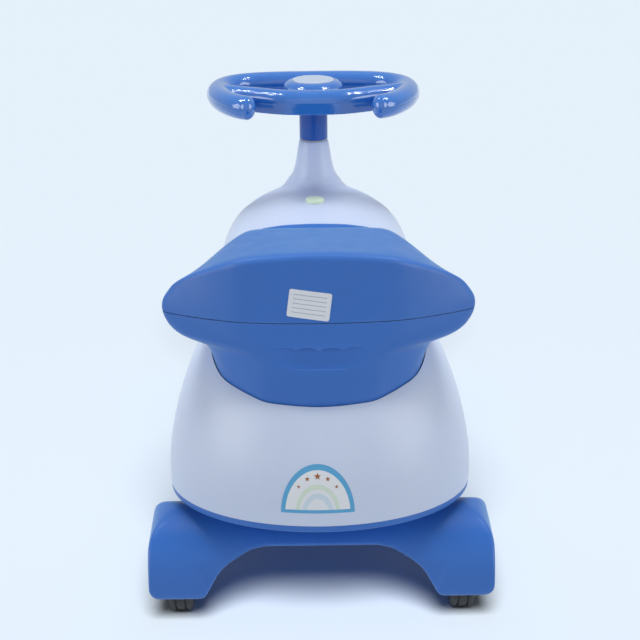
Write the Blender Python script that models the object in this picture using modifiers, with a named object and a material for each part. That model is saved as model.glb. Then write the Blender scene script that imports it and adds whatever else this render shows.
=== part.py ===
"""Swing car: a child's ride-on toy that moves when its steering wheel is swung from side to side.

Metres, +Z up. The car faces +Y, the rider's right hand is +X and the floor is at z = 0.
Every height is measured from the floor, and every place along the car from the rear axle or
from the steering axis. The origin is on the floor, below the middle of the car's length.
"""
import math

import bmesh
import bpy
from mathutils import Matrix, Vector

# Overall layout
BODY_LENGTH = 0.720
TAIL_OVERHANG = 0.080
WHEELBASE = 0.480
RIM_HEIGHT = 0.117

# Body shells
UPPER_WALL = 0.0025
TAIL_HALF_WIDTH = 0.143
TAIL_BULGE = 0.120
WAIST_HALF_WIDTH = 0.109
HOOD_HALF_WIDTH = 0.112
HOOD_HEIGHT = 0.298
DECK_HEIGHT = 0.268
TAIL_SHOULDER_HEIGHT = 0.213
COWL_TOP = 0.3038
COWL_RADIUS = 0.041
COWL_LEAD = 0.040
FLOOR_DEPTH = 0.006
FLOOR_WALL = 0.003
BAND_WIDTH = 0.005
BAND_INSET = 0.0006
FOOT_REST_HALF_WIDTH = 0.134

# Steering column
NECK_HEIGHT = 0.343
NECK_TOP_RADIUS = 0.0165
NECK_BORE_RADIUS = 0.0118
NECK_ROOT_RADIUS = 0.042
SHAFT_RADIUS = 0.008
SLEEVE_RADIUS = 0.016
BUSH_FLANGE = 0.0010
LOWER_BUSH_RADIUS = 0.0145
LOWER_BUSH_FLANGE_RADIUS = 0.020
LOWER_BUSH_FLANGE = 0.003
THRUST_WASHER = 0.001

# Steering wheel
STEERING_PLANE = 0.400
STEERING_HALF_WIDTH = 0.120
STEERING_TUBE_RADIUS = 0.0135
STEERING_WALL = 0.0040
STEERING_FAR_REACH = 0.044
STEERING_HORN_REACH = 0.088
CROSSBAR_REACH = 0.060
CROSSBAR_RADIUS = 0.0131
HUB_RADIUS = 0.034
HUB_RISE = 0.008
HUB_COLLAR_RISE = 0.0125
HUB_COLLAR_RADIUS = 0.0270
HUB_CAP_RADIUS = 0.0237
HUB_CAP_DEPTH = 0.004
STEERING_NUT_RADIUS = 0.0125
STEERING_NUT_DEPTH = 0.0055

# Seat
SEAT_WALL = 0.003
SEAT_HALF_WIDTH = 0.139
SEAT_OVERHANG = 0.046
SEAT_FLOOR_HEIGHT = 0.206
SEAT_RIDGE_HEIGHT = 0.358
SEAT_PARTING_HEIGHT = 0.301
SEAT_DISH_HEIGHT = 0.262
GRIP_HALF_WIDTH = 0.049
GRIP_HEIGHT = 0.268
GRIP_OPENING = 0.016
GRIP_DEPTH = 0.011

# Road wheels and their carriers
WHEEL_RADIUS = 0.048
TYRE_WIDTH = 0.022
TYRE_DEPTH = 0.009
HUB_BORE_RADIUS = 0.0046
TREAD_SETBACK = 0.0145
AXLE_RADIUS = 0.004
FENDER_RADIUS = 0.055
FENDER_WALL = 0.0035
POD_WIDTH = 0.053
POD_SIDE_WALL = 0.003
POD_BOTTOM = 0.030
POD_ROUNDING = 0.027
WELL_ROUNDING = 0.0238
CAR_HALF_WIDTH = 0.163
AXLE_CAP_RADIUS = 0.011
AXLE_CAP_DEPTH = 0.0015
AXLE_SOCKET_DEPTH = 0.007
BEAM_UNDERSIDE = 0.0795
BOLT_MARGIN = 0.010
CHANNEL_HALF_WIDTH = 0.045
CHANNEL_HALF_LENGTH = 0.026
MOUTH_SHARE = 0.97
FRONT_TRACK = 0.090
FRONT_TRAIL = 0.035
BRACKET_HALF_WIDTH = 0.029
BRACKET_WALL = 0.004
BRACKET_PLATE = 0.012
NOSE_WHEEL_RADIUS = 0.018
NOSE_WHEEL_WIDTH = 0.015
NOSE_WHEEL_CLEARANCE = 0.008
NOSE_WHEEL_SETBACK = 0.026
NOSE_BLOCK_HALF_WIDTH = 0.021
NOSE_BLOCK_LENGTH = 0.024
NOSE_PIN_RADIUS = 0.003

# Fasteners
SCREW_RADIUS = 0.0020
SCREW_HEAD_RADIUS = 0.0042
SCREW_HEAD_DEPTH = 0.0024
POST_RADIUS = 0.0062
SEAT_PILLAR_RADIUS = 0.011
PLUG_RADIUS = 0.01025
PLUG_DEPTH = 0.0035
PLUG_HEIGHT = 0.2977

# Clearances
FIT_GAP = 0.0003
SEAT_OPENING_GAP = 0.0010
RUNNING_GAP = 0.0005

# Places worked out from the sizes above
TAIL_Y = -BODY_LENGTH / 2
NOSE_Y = BODY_LENGTH / 2
REAR_AXLE_Y = TAIL_Y + TAIL_OVERHANG
STEERING_Y = REAR_AXLE_Y + WHEELBASE
FLOOR_BOTTOM = RIM_HEIGHT - FIT_GAP - FLOOR_DEPTH
FLOOR_TOP = FLOOR_BOTTOM + FLOOR_WALL
BRACKET_TOP = FLOOR_BOTTOM - FIT_GAP - LOWER_BUSH_FLANGE - THRUST_WASHER - 2 * FIT_GAP
NOSE_WHEEL_Y = NOSE_Y - NOSE_WHEEL_SETBACK
NOSE_WHEEL_Z = NOSE_WHEEL_CLEARANCE + NOSE_WHEEL_RADIUS
SLEEVE_BOTTOM = NECK_HEIGHT + BUSH_FLANGE + 2 * FIT_GAP
STEERING_UNDERSIDE = STEERING_PLANE - STEERING_TUBE_RADIUS
NUT_BOTTOM = STEERING_PLANE - 0.001
POD_OUTER = CAR_HALF_WIDTH - AXLE_CAP_DEPTH
POD_INNER = POD_OUTER - POD_WIDTH
WELL_OUTER = POD_OUTER - POD_SIDE_WALL
WELL_INNER = POD_INNER + POD_SIDE_WALL
REAR_TRACK = 2 * (WELL_OUTER - TREAD_SETBACK - TYRE_WIDTH / 2)
PLUG_Y = STEERING_Y - 0.094
PLUG_POST_RADIUS = PLUG_RADIUS + 0.003

TRUNK = "swing_car"
TOOLS = "swing_car_cutters"

OUTSIDE_SMOOTHING_STEPS = 2
INSIDE_SMOOTHING_STEPS = 1
SEAT_SMOOTHING_STEPS = 1
WHEEL_STEPS = 20
WELL_STEPS = 36
SMALL_STEPS = 16
SCREW_STEPS = 8
MERGE_DISTANCE = 0.00001


def clear_scene():
    for obj in list(bpy.data.objects):
        bpy.data.objects.remove(obj, do_unlink=True)


def make_collection(name):
    collection = bpy.data.collections.new(name)
    bpy.context.scene.collection.children.link(collection)
    return collection


def make_material(name, colour, roughness, metallic=0.0):
    material = bpy.data.materials.new(name)
    material.use_nodes = True
    shader = material.node_tree.nodes["Principled BSDF"]
    shader.inputs["Base Color"].default_value = (*colour, 1.0)
    shader.inputs["Roughness"].default_value = roughness
    shader.inputs["Metallic"].default_value = metallic
    return material


clear_scene()
trunk = make_collection(TRUNK)
tools = make_collection(TOOLS)

white_plastic = make_material("white_polypropylene", (0.72, 0.78, 0.90), 0.40)
blue_plastic = make_material("blue_polypropylene", (0.08, 0.22, 0.58), 0.42)
gloss_blue = make_material("glossy_blue_abs", (0.05, 0.19, 0.60), 0.15)
pale_plastic = make_material("pale_grey_polypropylene", (0.66, 0.68, 0.76), 0.35)
green_plastic = make_material("pale_green_polypropylene", (0.58, 0.76, 0.52), 0.40)
black_plastic = make_material("black_polypropylene", (0.02, 0.02, 0.022), 0.50)
grey_nylon = make_material("natural_nylon", (0.60, 0.60, 0.56), 0.45)
zinc_steel = make_material("zinc_plated_steel", (0.55, 0.56, 0.58), 0.30, 1.0)
bright_steel = make_material("bright_chromed_steel", (0.75, 0.76, 0.78), 0.12, 1.0)


def link_part(obj, material):
    """Put a finished sub-part in the car's collection, in its own material."""
    trunk.objects.link(obj)
    obj.data.materials.clear()
    obj.data.materials.append(material)
    return obj


def link_tool(obj):
    """Put a cutter, or a form that others are cut to, in the cutters' collection."""
    tools.objects.link(obj)
    obj.hide_render = True
    obj.display_type = "WIRE"
    return obj


def smooth(obj, degrees=40.0):
    obj.data.shade_smooth()
    obj.data.set_sharp_from_angle(angle=math.radians(degrees))
    return obj


def object_from_bmesh(name, bm):
    mesh = bpy.data.meshes.new(name)
    bm.to_mesh(mesh)
    bm.free()
    return bpy.data.objects.new(name, mesh)


def add_boolean(obj, tool, operation):
    modifier = obj.modifiers.new(operation.lower() + "_" + tool.name, "BOOLEAN")
    modifier.operation = operation
    modifier.object = tool
    modifier.solver = "EXACT"
    return modifier


def box(name, low, high):
    """A box between two corners."""
    bm = bmesh.new()
    low, high = Vector(low), Vector(high)
    bmesh.ops.create_cube(bm, size=1.0)
    bmesh.ops.scale(bm, vec=high - low, verts=bm.verts)
    bmesh.ops.translate(bm, vec=(low + high) / 2, verts=bm.verts)
    return object_from_bmesh(name, bm)


def add_rod(bm, start, end, radius, steps):
    """A round bar between two points, added to a mesh."""
    start, end = Vector(start), Vector(end)
    turn = (end - start).to_track_quat("Z", "Y").to_matrix().to_4x4()
    bmesh.ops.create_cone(
        bm, cap_ends=True, segments=steps, radius1=radius, radius2=radius,
        depth=(end - start).length, matrix=Matrix.Translation((start + end) / 2) @ turn)


def rod(name, start, end, radius, steps=SMALL_STEPS):
    bm = bmesh.new()
    add_rod(bm, start, end, radius, steps)
    return object_from_bmesh(name, bm)


def turned(name, profile, centre, axis, steps, closed):
    """A turned piece: (radius, height) points down its outer side, and back up a bore if closed.

    The heights run along the given axis, from the given centre.
    """
    mesh = bpy.data.meshes.new(name)
    count = len(profile)
    edges = [(i, i + 1) for i in range(count - 1)]
    if closed:
        edges.append((count - 1, 0))
    mesh.from_pydata([(radius, 0.0, height) for radius, height in profile], edges, [])
    obj = bpy.data.objects.new(name, mesh)
    screw = obj.modifiers.new("turn", "SCREW")
    screw.steps = steps
    screw.render_steps = steps
    screw.use_merge_vertices = True
    screw.merge_threshold = MERGE_DISTANCE
    screw.use_smooth_shade = True
    obj.matrix_world = (
        Matrix.Translation(centre) @ Vector(axis).to_track_quat("Z", "Y").to_matrix().to_4x4())
    return obj


def extruded(name, outline, depth, centre, axis):
    """A flat outline of (x, y) points, given a thickness either side of its plane."""
    curve = bpy.data.curves.new(name, "CURVE")
    curve.dimensions = "2D"
    curve.fill_mode = "BOTH"
    curve.extrude = depth / 2
    spline = curve.splines.new("POLY")
    spline.points.add(len(outline) - 1)
    for point, (x, y) in zip(spline.points, outline):
        point.co = (x, y, 0.0, 1.0)
    spline.use_cyclic_u = True
    turns = {"X": Matrix(((0, 0, 1), (1, 0, 0), (0, 1, 0))),
             "Y": Matrix(((1, 0, 0), (0, 0, -1), (0, 1, 0))),
             "Z": Matrix.Identity(3)}
    place = Matrix.Translation(centre) @ turns[axis].to_4x4()
    return mesh_from_curve(name, curve, place)


def tube(name, path, radius, resolution):
    """A round tube along a path of points, with its ends filled."""
    curve = bpy.data.curves.new(name, "CURVE")
    curve.dimensions = "3D"
    curve.bevel_depth = radius
    curve.bevel_resolution = resolution
    curve.use_fill_caps = True
    spline = curve.splines.new("POLY")
    spline.points.add(len(path) - 1)
    for point, place in zip(spline.points, path):
        point.co = (*place, 1.0)
    return mesh_from_curve(name, curve, Matrix.Identity(4))


def mesh_from_curve(name, curve, place):
    """Turn a curve into a closed mesh, which Boolean modifiers can use."""
    source = bpy.data.objects.new(name + "_curve", curve)
    bpy.context.scene.collection.objects.link(source)
    source.matrix_world = place
    graph = bpy.context.evaluated_depsgraph_get()
    mesh = bpy.data.meshes.new_from_object(source.evaluated_get(graph))
    bm = bmesh.new()
    bm.from_mesh(mesh)
    bmesh.ops.remove_doubles(bm, verts=bm.verts, dist=MERGE_DISTANCE)
    bmesh.ops.recalc_face_normals(bm, faces=bm.faces)
    bm.to_mesh(mesh)
    bm.free()
    obj = bpy.data.objects.new(name, mesh)
    obj.matrix_world = source.matrix_world
    bpy.data.objects.remove(source, do_unlink=True)
    return obj


def spline_points(controls, spans_per_step):
    """Points on the smooth cubic curve that a subdivided edge of these controls follows.

    Only the stretches between the second and the last but one control are returned.
    """
    points = []
    for i in range(1, len(controls) - 2):
        a, b, c, d = (Vector(p) for p in controls[i - 1:i + 3])
        for k in range(spans_per_step):
            t = k / spans_per_step
            points.append((
                a * (1 - t) ** 3
                + b * (3 * t ** 3 - 6 * t ** 2 + 4)
                + c * (-3 * t ** 3 + 3 * t ** 2 + 3 * t + 1)
                + d * t ** 3) / 6)
    a, b, c = (Vector(p) for p in controls[-3:])
    points.append((a + 4 * b + c) / 6)
    return points


def mirrored_outline(half, spans_per_step):
    """A closed smooth outline from the controls of its +X half, tail to nose."""
    before = (-half[1][0], half[1][1])
    after = (-half[-2][0], half[-2][1])
    side = spline_points([before, *half, after], spans_per_step)
    right = [(p.x, p.y) for p in side]
    left = [(-x, y) for x, y in reversed(right[1:-1])]
    return right + left


def offset_outline(outline, distance):
    """Move each point of a closed anticlockwise outline outwards by a distance."""
    moved = []
    count = len(outline)
    for i in range(count):
        before, after = Vector(outline[i - 1]), Vector(outline[(i + 1) % count])
        along = (after - before).normalized()
        moved.append((outline[i][0] + along.y * distance, outline[i][1] - along.x * distance))
    return moved


def add_mirror(obj):
    mirror = obj.modifiers.new("other_half", "MIRROR")
    mirror.use_axis = (True, False, False)
    mirror.use_clip = True
    mirror.merge_threshold = MERGE_DISTANCE


def add_subdivision(obj, level):
    subdivision = obj.modifiers.new("smooth_form", "SUBSURF")
    subdivision.levels = level
    subdivision.render_levels = level


def add_solidify(obj, thickness):
    solidify = obj.modifiers.new("wall", "SOLIDIFY")
    solidify.thickness = thickness
    solidify.offset = -1.0
    solidify.use_even_offset = True


def add_offset(obj, distance):
    displace = obj.modifiers.new("offset", "DISPLACE")
    displace.strength = distance
    displace.mid_level = 0.0


# Each station of the body is one place round its rim, from the tail's middle to the nose's.
# A station gives its rim, flank and shoulder as (half width, place along the car), and the
# heights of its shoulder and crown.

def ellipse_control(angle):
    """A control of the tail's elliptic rim, pushed out by what smoothing takes away."""
    swell = 6 / (4 + 2 * math.cos(math.radians(30)))
    centre = TAIL_Y + TAIL_BULGE
    return (TAIL_HALF_WIDTH * swell * math.sin(math.radians(angle)),
            centre - TAIL_BULGE * swell * math.cos(math.radians(angle)))


WAIST_Y = (REAR_AXLE_Y + STEERING_Y) / 2
HOOD_START_Y = STEERING_Y - 0.170
HOOD_MIDDLE_Y = STEERING_Y - 0.070
COWL_Y = STEERING_Y + 0.045
NOSE_CORNER_Y = NOSE_Y - 0.030

RIM_CONTROLS = [
    ellipse_control(0),
    ellipse_control(30),
    ellipse_control(60),
    ellipse_control(90),
    (TAIL_HALF_WIDTH * 0.93, REAR_AXLE_Y + 0.125),
    (WAIST_HALF_WIDTH, WAIST_Y - 0.020),
    (WAIST_HALF_WIDTH, HOOD_START_Y),
    (HOOD_HALF_WIDTH * 1.03, HOOD_MIDDLE_Y),
    (HOOD_HALF_WIDTH * 0.96, COWL_Y),
    (HOOD_HALF_WIDTH * 0.58, NOSE_CORNER_Y),
    (0.0, NOSE_Y + (NOSE_Y - NOSE_CORNER_Y) / 2),
]

# For each station: how far flank and shoulder lie inside the rim, across and along the car,
# then the heights of shoulder and crown.
BODY_STATIONS = [
    ((0.000, 0.004), (0.000, 0.018), TAIL_SHOULDER_HEIGHT, TAIL_SHOULDER_HEIGHT + 0.004),
    ((0.003, 0.006), (0.014, 0.018), TAIL_SHOULDER_HEIGHT + 0.010, TAIL_SHOULDER_HEIGHT + 0.016),
    ((0.006, 0.006), (0.026, 0.018), DECK_HEIGHT - 0.024, DECK_HEIGHT - 0.018),
    ((0.012, 0.000), (0.041, 0.004), DECK_HEIGHT, DECK_HEIGHT + 0.002),
    ((0.010, 0.000), (0.030, 0.000), DECK_HEIGHT, DECK_HEIGHT + 0.002),
    ((0.002, 0.000), (0.012, 0.000), DECK_HEIGHT - 0.006, DECK_HEIGHT - 0.004),
    ((0.002, 0.000), (0.010, 0.000), HOOD_HEIGHT - 0.018, HOOD_HEIGHT - 0.010),
    ((0.002, 0.000), (0.021, 0.000), HOOD_HEIGHT - 0.009, HOOD_HEIGHT + 0.0015),
    ((0.018, -0.006), (0.062, -0.010), HOOD_HEIGHT - 0.022, HOOD_HEIGHT - 0.009),
    ((0.012, -0.014), (0.042, -0.036), HOOD_HEIGHT - 0.058, HOOD_HEIGHT - 0.042),
    ((0.000, -0.010), (0.000, -0.042), HOOD_HEIGHT - 0.080, HOOD_HEIGHT - 0.066),
]
BELT_RISE = 0.030
BELT_SWELL = 1.006
FLANK_SHARE = 0.60
CROWN_SHARE = 0.55
CROWN_SETBACK = 1.3


def body_cage(name, skirt):
    """Half of the body's coarse cage, open at the middle plane only.

    With no skirt its flat underside is the rim's plane. A skirt runs that far below the rim.
    """
    bm = bmesh.new()
    crease = bm.edges.layers.float.new("crease_edge")
    grid = []
    for (x, y), (flank, shoulder, shoulder_z, crown_z) in zip(RIM_CONTROLS, BODY_STATIONS):
        flank_z = RIM_HEIGHT + (shoulder_z - RIM_HEIGHT) * FLANK_SHARE
        shoulder_x = max(x - shoulder[0], 0.0)
        crown_y = y + shoulder[1] * CROWN_SETBACK
        column = [
            (x, y, RIM_HEIGHT - skirt),
            (x, y, RIM_HEIGHT),
            (x * BELT_SWELL, y, RIM_HEIGHT + BELT_RISE),
            (max(x - flank[0], 0.0), y + flank[1], flank_z),
            (shoulder_x, y + shoulder[1], shoulder_z),
            (shoulder_x * CROWN_SHARE, crown_y, crown_z),
            (0.0, crown_y, crown_z),
        ]
        if not skirt:
            column = column[1:]
        grid.append([bm.verts.new(point) for point in column])
    for left, right in zip(grid, grid[1:]):
        for j in range(len(left) - 1):
            bm.faces.new((left[j], right[j], right[j + 1], left[j + 1]))
        bm.edges.get((left[0], right[0]))[crease] = 1.0
    bottom = RIM_HEIGHT - skirt
    middle = [bm.verts.new((0.0, column[0].co.y, bottom)) for column in grid[1:-1]]
    middle = [grid[0][0], *middle, grid[-1][0]]
    for i in range(len(grid) - 1):
        corners = [middle[i], middle[i + 1], grid[i + 1][0], grid[i][0]]
        bm.faces.new(list(dict.fromkeys(corners)))
    bmesh.ops.remove_doubles(bm, verts=bm.verts, dist=MERGE_DISTANCE)
    return object_from_bmesh(name, bm)


# The seat is one closed form, parted into an upper and a lower shell. Each row of its cage
# crosses the car: (place and height on the middle line), (the same at its side), its half
# width as a share of the seat's, and how sharply the smoothed form follows it.
SEAT_REAR_Y = REAR_AXLE_Y - SEAT_OVERHANG
SEAT_TIP_Y = REAR_AXLE_Y + 0.002
SEAT_FRONT_Y = HOOD_START_Y - 0.002
BACK_DEPTH = 0.132
DISH_Y = SEAT_REAR_Y + BACK_DEPTH + 0.085
TIP_TOP = SEAT_PARTING_HEIGHT + 0.022
TIP_BOTTOM = SEAT_PARTING_HEIGHT - 0.019
LIP_HEIGHT = HOOD_HEIGHT - 0.004

SEAT_ROWS = [
    ((SEAT_REAR_Y, SEAT_PARTING_HEIGHT + 0.006), (SEAT_TIP_Y, SEAT_PARTING_HEIGHT + 0.006), 1.09, 0.3),
    ((SEAT_REAR_Y + 0.006, SEAT_RIDGE_HEIGHT + 0.006), (SEAT_TIP_Y + 0.004, TIP_TOP - 0.006), 1.06, 0.6),
    ((SEAT_REAR_Y + BACK_DEPTH, SEAT_RIDGE_HEIGHT - 0.006),
     (SEAT_TIP_Y + 0.014, TIP_TOP - 0.012), 0.93, 0.7),
    ((SEAT_REAR_Y + BACK_DEPTH + 0.022, SEAT_DISH_HEIGHT + 0.026),
     (SEAT_TIP_Y + 0.070, SEAT_DISH_HEIGHT + 0.016), 0.74, 0.0),
    ((DISH_Y, SEAT_DISH_HEIGHT), (DISH_Y - 0.015, SEAT_DISH_HEIGHT + 0.006), 0.68, 0.0),
    ((SEAT_FRONT_Y - 0.055, SEAT_DISH_HEIGHT + 0.014),
     (SEAT_FRONT_Y - 0.060, SEAT_DISH_HEIGHT + 0.018), 0.58, 0.0),
    ((SEAT_FRONT_Y, LIP_HEIGHT), (SEAT_FRONT_Y - 0.014, LIP_HEIGHT - 0.004), 0.50, 0.5),
    ((SEAT_FRONT_Y + 0.002, SEAT_DISH_HEIGHT - 0.010),
     (SEAT_FRONT_Y - 0.012, SEAT_DISH_HEIGHT - 0.008), 0.49, 0.0),
    ((SEAT_FRONT_Y - 0.006, SEAT_FLOOR_HEIGHT - 0.014),
     (SEAT_FRONT_Y - 0.022, SEAT_FLOOR_HEIGHT - 0.008), 0.44, 0.0),
    ((DISH_Y, SEAT_FLOOR_HEIGHT - 0.014), (DISH_Y, SEAT_FLOOR_HEIGHT - 0.008), 0.62, 0.0),
    ((SEAT_REAR_Y, SEAT_FLOOR_HEIGHT - 0.014),
     (SEAT_TIP_Y + 0.012, SEAT_FLOOR_HEIGHT - 0.008), 0.69, 0.0),
    ((SEAT_REAR_Y - 0.018, SEAT_FLOOR_HEIGHT + 0.030),
     (SEAT_TIP_Y + 0.004, SEAT_FLOOR_HEIGHT + 0.040), 0.755, 0.0),
    ((SEAT_REAR_Y - 0.012, TIP_BOTTOM - 0.014), (SEAT_TIP_Y + 0.004, TIP_BOTTOM - 0.016), 0.79, 0.3),
    ((SEAT_REAR_Y - 0.006, TIP_BOTTOM - 0.004), (SEAT_TIP_Y, TIP_BOTTOM - 0.006), 1.08, 0.2),
]
FAR_EDGE_ROW = 2
SEAT_COLUMNS = (0.0, 0.44, 0.54, 0.77, 1.0)
ROUND_BEND = (0.0, 0.15, 0.25, 0.55, 1.0)
STRAIGHT_BEND = (0.0, 0.0, 0.03, 0.46, 1.0)
SEAT_END_FACES = ((13, 0, 1, 2), (12, 13, 2, 3), (11, 12, 3, 4),
                  (10, 11, 4, 5), (9, 10, 5, 6), (8, 9, 6, 7))


def seat_cage(name):
    """Half of the seat's coarse cage, open at the middle plane."""
    bm = bmesh.new()
    crease = bm.edges.layers.float.new("crease_edge")
    grid = []
    for number, (middle, side, share, _) in enumerate(SEAT_ROWS):
        bends = STRAIGHT_BEND if number == FAR_EDGE_ROW else ROUND_BEND
        row = []
        for column, bend in zip(SEAT_COLUMNS, bends):
            row.append(bm.verts.new((
                SEAT_HALF_WIDTH * share * column,
                middle[0] + (side[0] - middle[0]) * bend,
                middle[1] + (side[1] - middle[1]) * bend)))
        grid.append(row)
    for j in range(len(grid)):
        near, far = grid[j - 1], grid[j]
        for i in range(len(SEAT_COLUMNS) - 1):
            bm.faces.new((near[i], near[i + 1], far[i + 1], far[i]))
    for corners in SEAT_END_FACES:
        bm.faces.new([grid[j][-1] for j in corners])
    for row, (_, _, _, sharpness) in zip(grid, SEAT_ROWS):
        for i in range(len(row) - 1):
            bm.edges.get((row[i], row[i + 1]))[crease] = sharpness
    bmesh.ops.recalc_face_normals(bm, faces=bm.faces)
    return object_from_bmesh(name, bm)


def seat_form(name, level, grow=0.0, shift=0.0):
    """The seat's whole closed form, grown by a distance or moved along the car."""
    form = link_tool(seat_cage(name))
    form.location.y = shift
    add_mirror(form)
    add_subdivision(form, level)
    if grow:
        add_offset(form, grow)
    return form


def body_form(name, inset):
    """The body's whole closed form, smaller than the shell's outside and open past its rim."""
    form = link_tool(body_cage(name, skirt=0.020))
    add_mirror(form)
    add_subdivision(form, INSIDE_SMOOTHING_STEPS)
    add_offset(form, -inset)
    return form


def posts(name, places, bottom, top, radius, form):
    """Round screw posts, ending inside the wall of the shell that they are moulded with."""
    bm = bmesh.new()
    for x, y in places:
        add_rod(bm, (x, y, bottom), (x, y, top), radius, 12)
    group = link_tool(object_from_bmesh(name, bm))
    add_boolean(group, form, "INTERSECT")
    return group


def drills(name, places, bottom, top, radius, steps=12):
    """Round holes along Z, cut out of whatever stands at these places."""
    bm = bmesh.new()
    for x, y in places:
        add_rod(bm, (x, y, bottom), (x, y, top), radius, steps)
    return link_tool(object_from_bmesh(name, bm))


def both_sides(places):
    """Each place and its mirror image, left one first."""
    return [(side * x, y) for x, y in places for side in (-1, 1)]


BODY_POST_PLACES = both_sides([
    (TAIL_HALF_WIDTH * 0.42, TAIL_Y + 0.024),
    (WAIST_HALF_WIDTH - 0.009, WAIST_Y - 0.020),
    (HOOD_HALF_WIDTH * 0.55, NOSE_CORNER_Y - 0.055),
])
SEAT_POST_PLACES = both_sides([
    (SEAT_HALF_WIDTH * 0.42, REAR_AXLE_Y + 0.020),
    (SEAT_HALF_WIDTH * 0.33, SEAT_FRONT_Y - 0.070),
])
PILLAR_PLACES = [(0.0, REAR_AXLE_Y + FENDER_RADIUS + 0.020), (0.0, SEAT_FRONT_Y - 0.080)]
HOUSING_BOLT_PLACES = both_sides([(0.060, REAR_AXLE_Y - 0.022), (0.060, REAR_AXLE_Y + 0.022)])
SCREW_HOLE_RADIUS = SCREW_RADIUS + FIT_GAP
SCREW_BITE = 0.014


def make_upper_shell():
    shell = link_part(body_cage("body_upper_shell", skirt=0.0), white_plastic)
    add_mirror(shell)
    add_subdivision(shell, OUTSIDE_SMOOTHING_STEPS)
    add_boolean(shell, body_form("body_inside", UPPER_WALL), "DIFFERENCE")

    root = DECK_HEIGHT - 0.004
    neck = link_tool(turned("neck_form", [
        (0.0, NECK_HEIGHT),
        (NECK_TOP_RADIUS, NECK_HEIGHT),
        (NECK_TOP_RADIUS + 0.0031, NECK_HEIGHT - 0.0185),
        (NECK_TOP_RADIUS + 0.0053, NECK_HEIGHT - 0.031),
        (NECK_TOP_RADIUS + 0.0102, NECK_HEIGHT - 0.043),
        (NECK_TOP_RADIUS + 0.0185, NECK_HEIGHT - 0.053),
        (NECK_ROOT_RADIUS, NECK_HEIGHT - 0.063),
        (NECK_ROOT_RADIUS, root),
        (0.0, root),
    ], (0, STEERING_Y, 0), (0, 0, 1), WHEEL_STEPS, closed=False))
    bore = drills("neck_bore", [(0.0, STEERING_Y)], FLOOR_TOP, NECK_HEIGHT + 0.01,
                  NECK_BORE_RADIUS, WHEEL_STEPS)
    core = body_form("body_core", UPPER_WALL * 0.5)
    body_posts = link_tool(body_posts_form())
    add_boolean(body_posts, core, "INTERSECT")
    add_boolean(shell, body_posts, "UNION")
    add_boolean(shell, seat_form("seat_opening", SEAT_SMOOTHING_STEPS, grow=SEAT_OPENING_GAP), "DIFFERENCE")
    pilot = drills("body_post_pilot_holes", BODY_POST_PLACES, FLOOR_BOTTOM - 0.01,
                   FLOOR_TOP + SCREW_BITE, SCREW_HOLE_RADIUS)
    add_boolean(shell, pilot, "DIFFERENCE")
    plug_seat = drills("plug_seat", [(0.0, PLUG_Y)], PLUG_HEIGHT - PLUG_DEPTH,
                       HOOD_HEIGHT + 0.02, PLUG_RADIUS + FIT_GAP, SMALL_STEPS)
    add_boolean(shell, plug_seat, "DIFFERENCE")
    cowl = link_tool(turned("cowl_form", [
        (0.0, COWL_TOP),
        (COWL_RADIUS * 0.39, COWL_TOP - 0.0035),
        (COWL_RADIUS * 0.55, COWL_TOP - 0.0072),
        (COWL_RADIUS * 0.71, COWL_TOP - 0.0135),
        (COWL_RADIUS * 0.86, COWL_TOP - 0.0218),
        (COWL_RADIUS * 0.95, COWL_TOP - 0.0308),
        (COWL_RADIUS, root),
        (0.0, root),
    ], (0, STEERING_Y + COWL_LEAD, 0), (0, 0, 1), WHEEL_STEPS, closed=False))
    add_boolean(shell, cowl, "UNION")
    add_boolean(shell, neck, "UNION")
    add_boolean(shell, bore, "DIFFERENCE")
    return smooth(shell)


def body_posts_form():
    """The upper shell's screw posts, and the tall post below the plug on its hood."""
    bm = bmesh.new()
    bottom = FLOOR_TOP + FIT_GAP
    for x, y in BODY_POST_PLACES:
        add_rod(bm, (x, y, bottom), (x, y, HOOD_HEIGHT + 0.02), POST_RADIUS, 12)
    add_rod(bm, (0, PLUG_Y, bottom), (0, PLUG_Y, HOOD_HEIGHT + 0.02), PLUG_POST_RADIUS, 16)
    return object_from_bmesh("upper_shell_posts", bm)


def parting_outline(gap):
    """The surface that parts the seat's shells in side view, from rear to front."""
    rear, front = SEAT_REAR_Y - 0.050, SEAT_FRONT_Y + 0.050
    return [
        (rear, SEAT_PARTING_HEIGHT + gap),
        (SEAT_TIP_Y + 0.020, SEAT_PARTING_HEIGHT - 0.004 + gap),
        (SEAT_TIP_Y + 0.060, SEAT_DISH_HEIGHT - 0.012 + gap),
        (front, SEAT_DISH_HEIGHT - 0.012 + gap),
    ]


def parting_block(name, gap, below):
    """Everything below, or above, the seat's parting surface."""
    line = parting_outline(gap)
    edge = SEAT_FLOOR_HEIGHT - 0.1 if below else SEAT_RIDGE_HEIGHT + 0.1
    corners = [(line[-1][0], edge), (line[0][0], edge)]
    outline = line + corners if below else line[::-1] + corners[::-1]
    return link_tool(extruded(name, outline, 4 * SEAT_HALF_WIDTH, (0, 0, 0), "X"))


def scallop_outline(half_width, half_height, scallops):
    """The grip's slot: round ends, a straight lower edge and finger scallops along its top."""
    points = []
    for k in range(7):
        angle = math.radians(-90 + 30 * k)
        points.append((half_width - half_height + half_height * math.cos(angle),
                       half_height * math.sin(angle)))
    reach = half_width - half_height
    pitch = 2 * reach / scallops
    for s in range(scallops):
        start = reach - s * pitch
        for k in range(1, 6 if s < scallops - 1 else 5):
            along = start - pitch * k / 5
            points.append((along, half_height + half_height * 0.30 * math.sin(math.pi * k / 5)))
    for k in range(7):
        angle = math.radians(90 + 30 * k)
        points.append((-reach + half_height * math.cos(angle), half_height * math.sin(angle)))
    return points


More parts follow.
